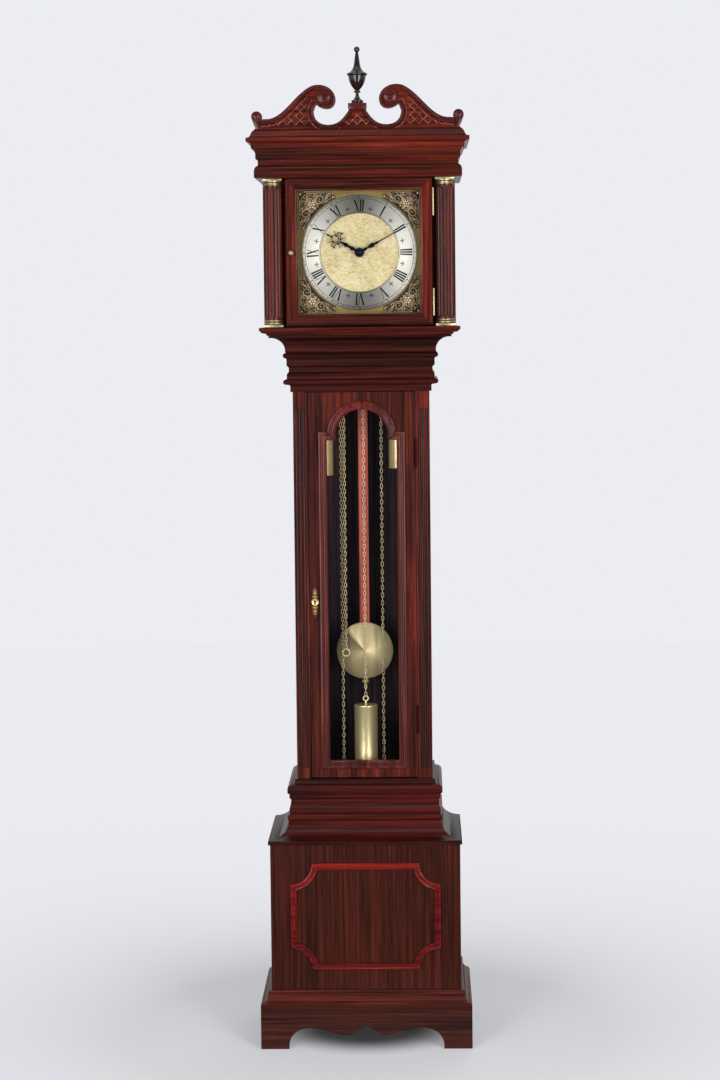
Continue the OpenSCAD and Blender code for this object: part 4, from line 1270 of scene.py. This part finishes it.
settle(knurled("ratingNut", "rating_nut"), "pendulum", plateBrass, ["rating_nut"], "spun_brass", 25)
print("pendulum ready")


chainLook = dict(pitch=8.15, length=11.1, width=6.2, wire=0.75, around=5, steps=12)
endLook = dict(radius=7.5, wire=1.6, chainUp=11.5)
weightLook = dict(
    hookUp=191, hookRadius=5, hookWire=1.5, chainUp=199.5,
    edge=[(-1.2, 0), (-0.3, 0.3), (0, 1.0), (0, 2.3), (-0.4, 2.9), (-0.5, 3.1), (-0.5, 174.9), (-0.4, 175.1),
          (0, 175.7), (0, 177), (-0.3, 177.7), (-1.4, 178)],  # from the full radius
    neck=[(4.2, 178), (3.6, 179.2), (2.4, 180), (2, 186.6), (0, 187)])


def chainLink():
    # an oval link standing along Z in the XZ plane
    c, n, points = chainLook, chainLook["steps"], []
    bow = (c["width"] / 2 - c["wire"]) * mm
    straight = (c["length"] / 2) * mm - bow - c["wire"] * mm
    centres = [(bow * math.cos(a), bow * math.sin(a) + (straight if math.sin(a) > 0 else -straight))
               for a in [tau * (i + 0.5) / n for i in range(n)]]
    for k, (x, z) in enumerate(centres):
        (bx, bz), (ax, az) = centres[k - 1], centres[(k + 1) % n]
        size = math.hypot(ax - bx, az - bz)
        for i in range(c["around"]):
            b = tau * i / c["around"]
            r, h = c["wire"] * mm * math.cos(b), c["wire"] * mm * math.sin(b)
            points.append((x + (az - bz) / size * r, h, z - (ax - bx) / size * r))
    return tidyNormals(newPiece("chainLink", points, quads(n, c["around"], True)))


def pathOf(points):
    # a poly line for the links to follow
    line = bpy.data.curves.new("chainPath", "CURVE")
    line.dimensions = "3D"
    spline = line.splines.new("POLY")
    spline.points.add(len(points) - 1)
    for point, place in zip(spline.points, points):
        point.co = (*place, 1.0)
    return linked("chainPath", line)


def chainOf(name, points, first=0.0):
    length = sum((Vector(b) - Vector(a)).length for a, b in zip(points, points[1:]))
    link, path = chainLink(), pathOf(points)
    piece = chainTree.grow(name, path=path, link=link, first=first, material=chainBrass,
                           count=round(length / mm / chainLook["pitch"]) + 1)
    bpy.data.objects.remove(link)
    bpy.data.objects.remove(path)
    return smoothed(piece)


for train in ("left", "centre", "right"):
    low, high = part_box("weight_" + train)
    x, y, _ = middleOf("weight_" + train)
    radius, bottom = (high.x - low.x) / 2 / mm, low.z / mm
    profile = [(0, 0)] + [(radius + inset, up) for inset, up in weightLook["edge"]] + weightLook["neck"]
    hookAt = (x, y, (bottom + weightLook["hookUp"]) * mm)
    parts = [lathe("shell", [(r, h + bottom) for r, h in profile], (x, y, 0), "z", 96),
             tube("hook", hookAt, weightLook["hookRadius"] * mm, weightLook["hookWire"] * mm, 36, 10)]
    settle(joined("weight" + train.capitalize(), parts), "weight_" + train, weightBrass, ["weight_" + train],
           "polished_brass", 40)

    ringX, _, ringZ = middleOf("chain_end_" + train)
    ring = tube("chainEnd" + train.capitalize(), (ringX, y, ringZ), endLook["radius"] * mm,
                endLook["wire"] * mm, 48, 12)
    settle(ring, "chain_end_" + train, chainBrass, ["chain_end_" + train], "chain_brass", 60)

    wheelZ = middleOf("great_wheel_" + train)[2]
    middle, reach = (x + ringX) / 2, (x - ringX) / 2
    name, node = "chain" + train.capitalize(), "chain_" + train
    load = chainOf(name + "Load", [(x, y, (bottom + weightLook["chainUp"]) * mm), (x, y, wheelZ)])
    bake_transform(load)
    free = chainOf(name + "Free", [(ringX, y, ringZ + endLook["chainUp"] * mm), (ringX, y, wheelZ)])
    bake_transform(free)
    bend = [(middle + reach * math.cos(a), y, wheelZ + abs(reach) * math.sin(a))
            for a in [math.radians(22.5 + 135 * i / 24) for i in range(25)]]
    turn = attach(chainOf(name + "Turn", bend, 1.0), "case")
    for piece in (load, free, turn):
        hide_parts(node)
print("weights and chains ready")


camera = bpy.data.objects.new("camera", bpy.data.cameras.new("camera"))
scene.collection.objects.link(camera)
scene.camera = camera
cameraLook = dict(place=(0.1172, -4.9379, 1.5030), lens=79.5, yaw=1.357, pitch=-3.826, roll=0.595,
                  shiftX=-0.0024, shiftY=-0.0607)
camera.data.sensor_width = 36
camera.data.lens = cameraLook["lens"]
camera.data.shift_x, camera.data.shift_y = cameraLook["shiftX"], cameraLook["shiftY"]
camera.data.clip_start, camera.data.clip_end = 0.1, 100
camera.matrix_world = (Matrix.Translation(cameraLook["place"])
                       @ Matrix.Rotation(math.radians(cameraLook["yaw"]), 4, "Z")
                       @ Matrix.Rotation(math.radians(cameraLook["pitch"]), 4, "X")
                       @ Matrix.Rotation(math.radians(cameraLook["roll"]), 4, "Y")
                       @ Matrix.Rotation(math.radians(90), 4, "X"))


studio = dict(
    backdrop=rgb(236, 237, 242), floor=rgb(228, 229, 233), front=0.035, behind=0.6, ambient=0.24,
    lights=[  # name, place, aimed at, width, height, watts, colour
        ("leftBox", (-2.7, -3.4, 1.7), (0, 0, 1.1), 1.0, 2.4, 38, (0.93, 0.96, 1.0)),
        ("rightBox", (2.7, -3.4, 1.7), (0, 0, 1.1), 1.0, 2.4, 36, (1.0, 0.985, 0.96)),
        ("topBox", (0.0, -1.6, 4.4), (0, 0, 1.2), 2.4, 1.4, 12, (1.0, 1.0, 1.0)),
        ("leftStrip", (-1.0, -2.4, 1.15), (0, 0, 1.05), 0.5, 2.2, 29, (0.96, 0.98, 1.0)),
        ("rightStrip", (1.12, -2.4, 1.15), (0, 0, 1.05), 0.6, 2.2, 36, (1.0, 0.99, 0.97)),
        ("backBox", (0.9, 3.8, 2.3), (0, 0, 0.9), 2.4, 2.0, 46, (1.0, 1.0, 1.0)),
    ])
for name, place, aim, width, height, power, colour in studio["lights"]:
    light = bpy.data.lights.new(name, "AREA")
    light.shape = "RECTANGLE"
    light.size, light.size_y = width, height
    light.energy = power
    light.color = colour
    lamp = bpy.data.objects.new(name, light)
    lamp.matrix_world = (Matrix.Translation(place)
                         @ (Vector(aim) - Vector(place)).to_track_quat("-Z", "Y").to_matrix().to_4x4())
    lamp.visible_camera = False
    lamp.visible_glossy = name != "backBox"
    scene.collection.objects.link(lamp)

world = bpy.data.worlds.new("studioWorld")
world.use_nodes = True


def studioWorld():
    # plain and pale to the camera; to the clock, bright behind and dim in front
    sky = Graph(world.node_tree)
    height = sky.split(sky.node("ShaderNodeTexCoord", {}, {}, "Generated"))[1]
    bright = sky.node("ShaderNodeMapRange", {}, {0: height, 1: -0.94, 2: -0.4, 3: studio["front"],
                                                 4: studio["behind"]})
    soft = sky.mix(sky.node("ShaderNodeLightPath", {}, {}, "Is Diffuse Ray"), bright,
                   (studio["ambient"],) * 3 + (1,))
    shown = sky.mix(sky.node("ShaderNodeLightPath", {}, {}, "Is Camera Ray"), soft, (*studio["backdrop"], 1))
    sky.feed(world.node_tree.nodes["Background"].inputs[0], shown)


studioWorld()
scene.world = world
scene.view_settings.view_transform = "Standard"
scene.view_settings.look = "None"


def studioFloor():
    # a round pale floor that fades into the background, with a painted shadow under the clock; it goes dark to
    # mirrored rays away from the clock, so polished wood hardly mirrors it
    steps, rings = 96, (0.0, 2.0, 6.0)
    points = [(r * math.cos(tau * k / steps), r * math.sin(tau * k / steps), 0)
              for r in rings for k in range(steps)]
    floor = smoothed(newPiece("studioFloor", points, quads(len(rings), steps)))
    paper = Finish("studioPaper", Roughness=0.9, Specular_IOR_Level=0.0, Emission_Strength=0.985)
    distance = paper.vector("LENGTH", {0: paper.place}, "Value")
    away = 1.0 - 0.082 ** distance.maths("MAXIMUM", distance - 0.5, 0.0) * 0.7
    shadow = paper.vector("LENGTH", {0: paper.mapped((1, 1, 1), (0, -0.03, 0))}, "Value")
    # painted shadow: the floor's colour and glow darken towards the middle under the clock
    paintedShadow = shadow.band(0.1, 0.22) * 0.88 + 0.12
    mirroredRay = paper.node("ShaderNodeLightPath", {}, {}, "Is Glossy Ray")
    dim = ((1.0 - mirroredRay * distance.band(0.25, 0.7) * 0.92) * paintedShadow).clamped()
    near = paper.mix(away, (*studio["floor"], 1), (0.0, 0.0, 0.0, 1))
    far = paper.mix(away, (0, 0, 0, 1), (*studio["backdrop"], 1))
    paper.set(Base_Color=paper.mix(dim, (0.01, 0.01, 0.01, 1), near),
              Emission_Color=paper.mix(dim, (0, 0, 0, 1), far))
    floor.data.materials.append(paper.material)


studioFloor()
print("studio ready")
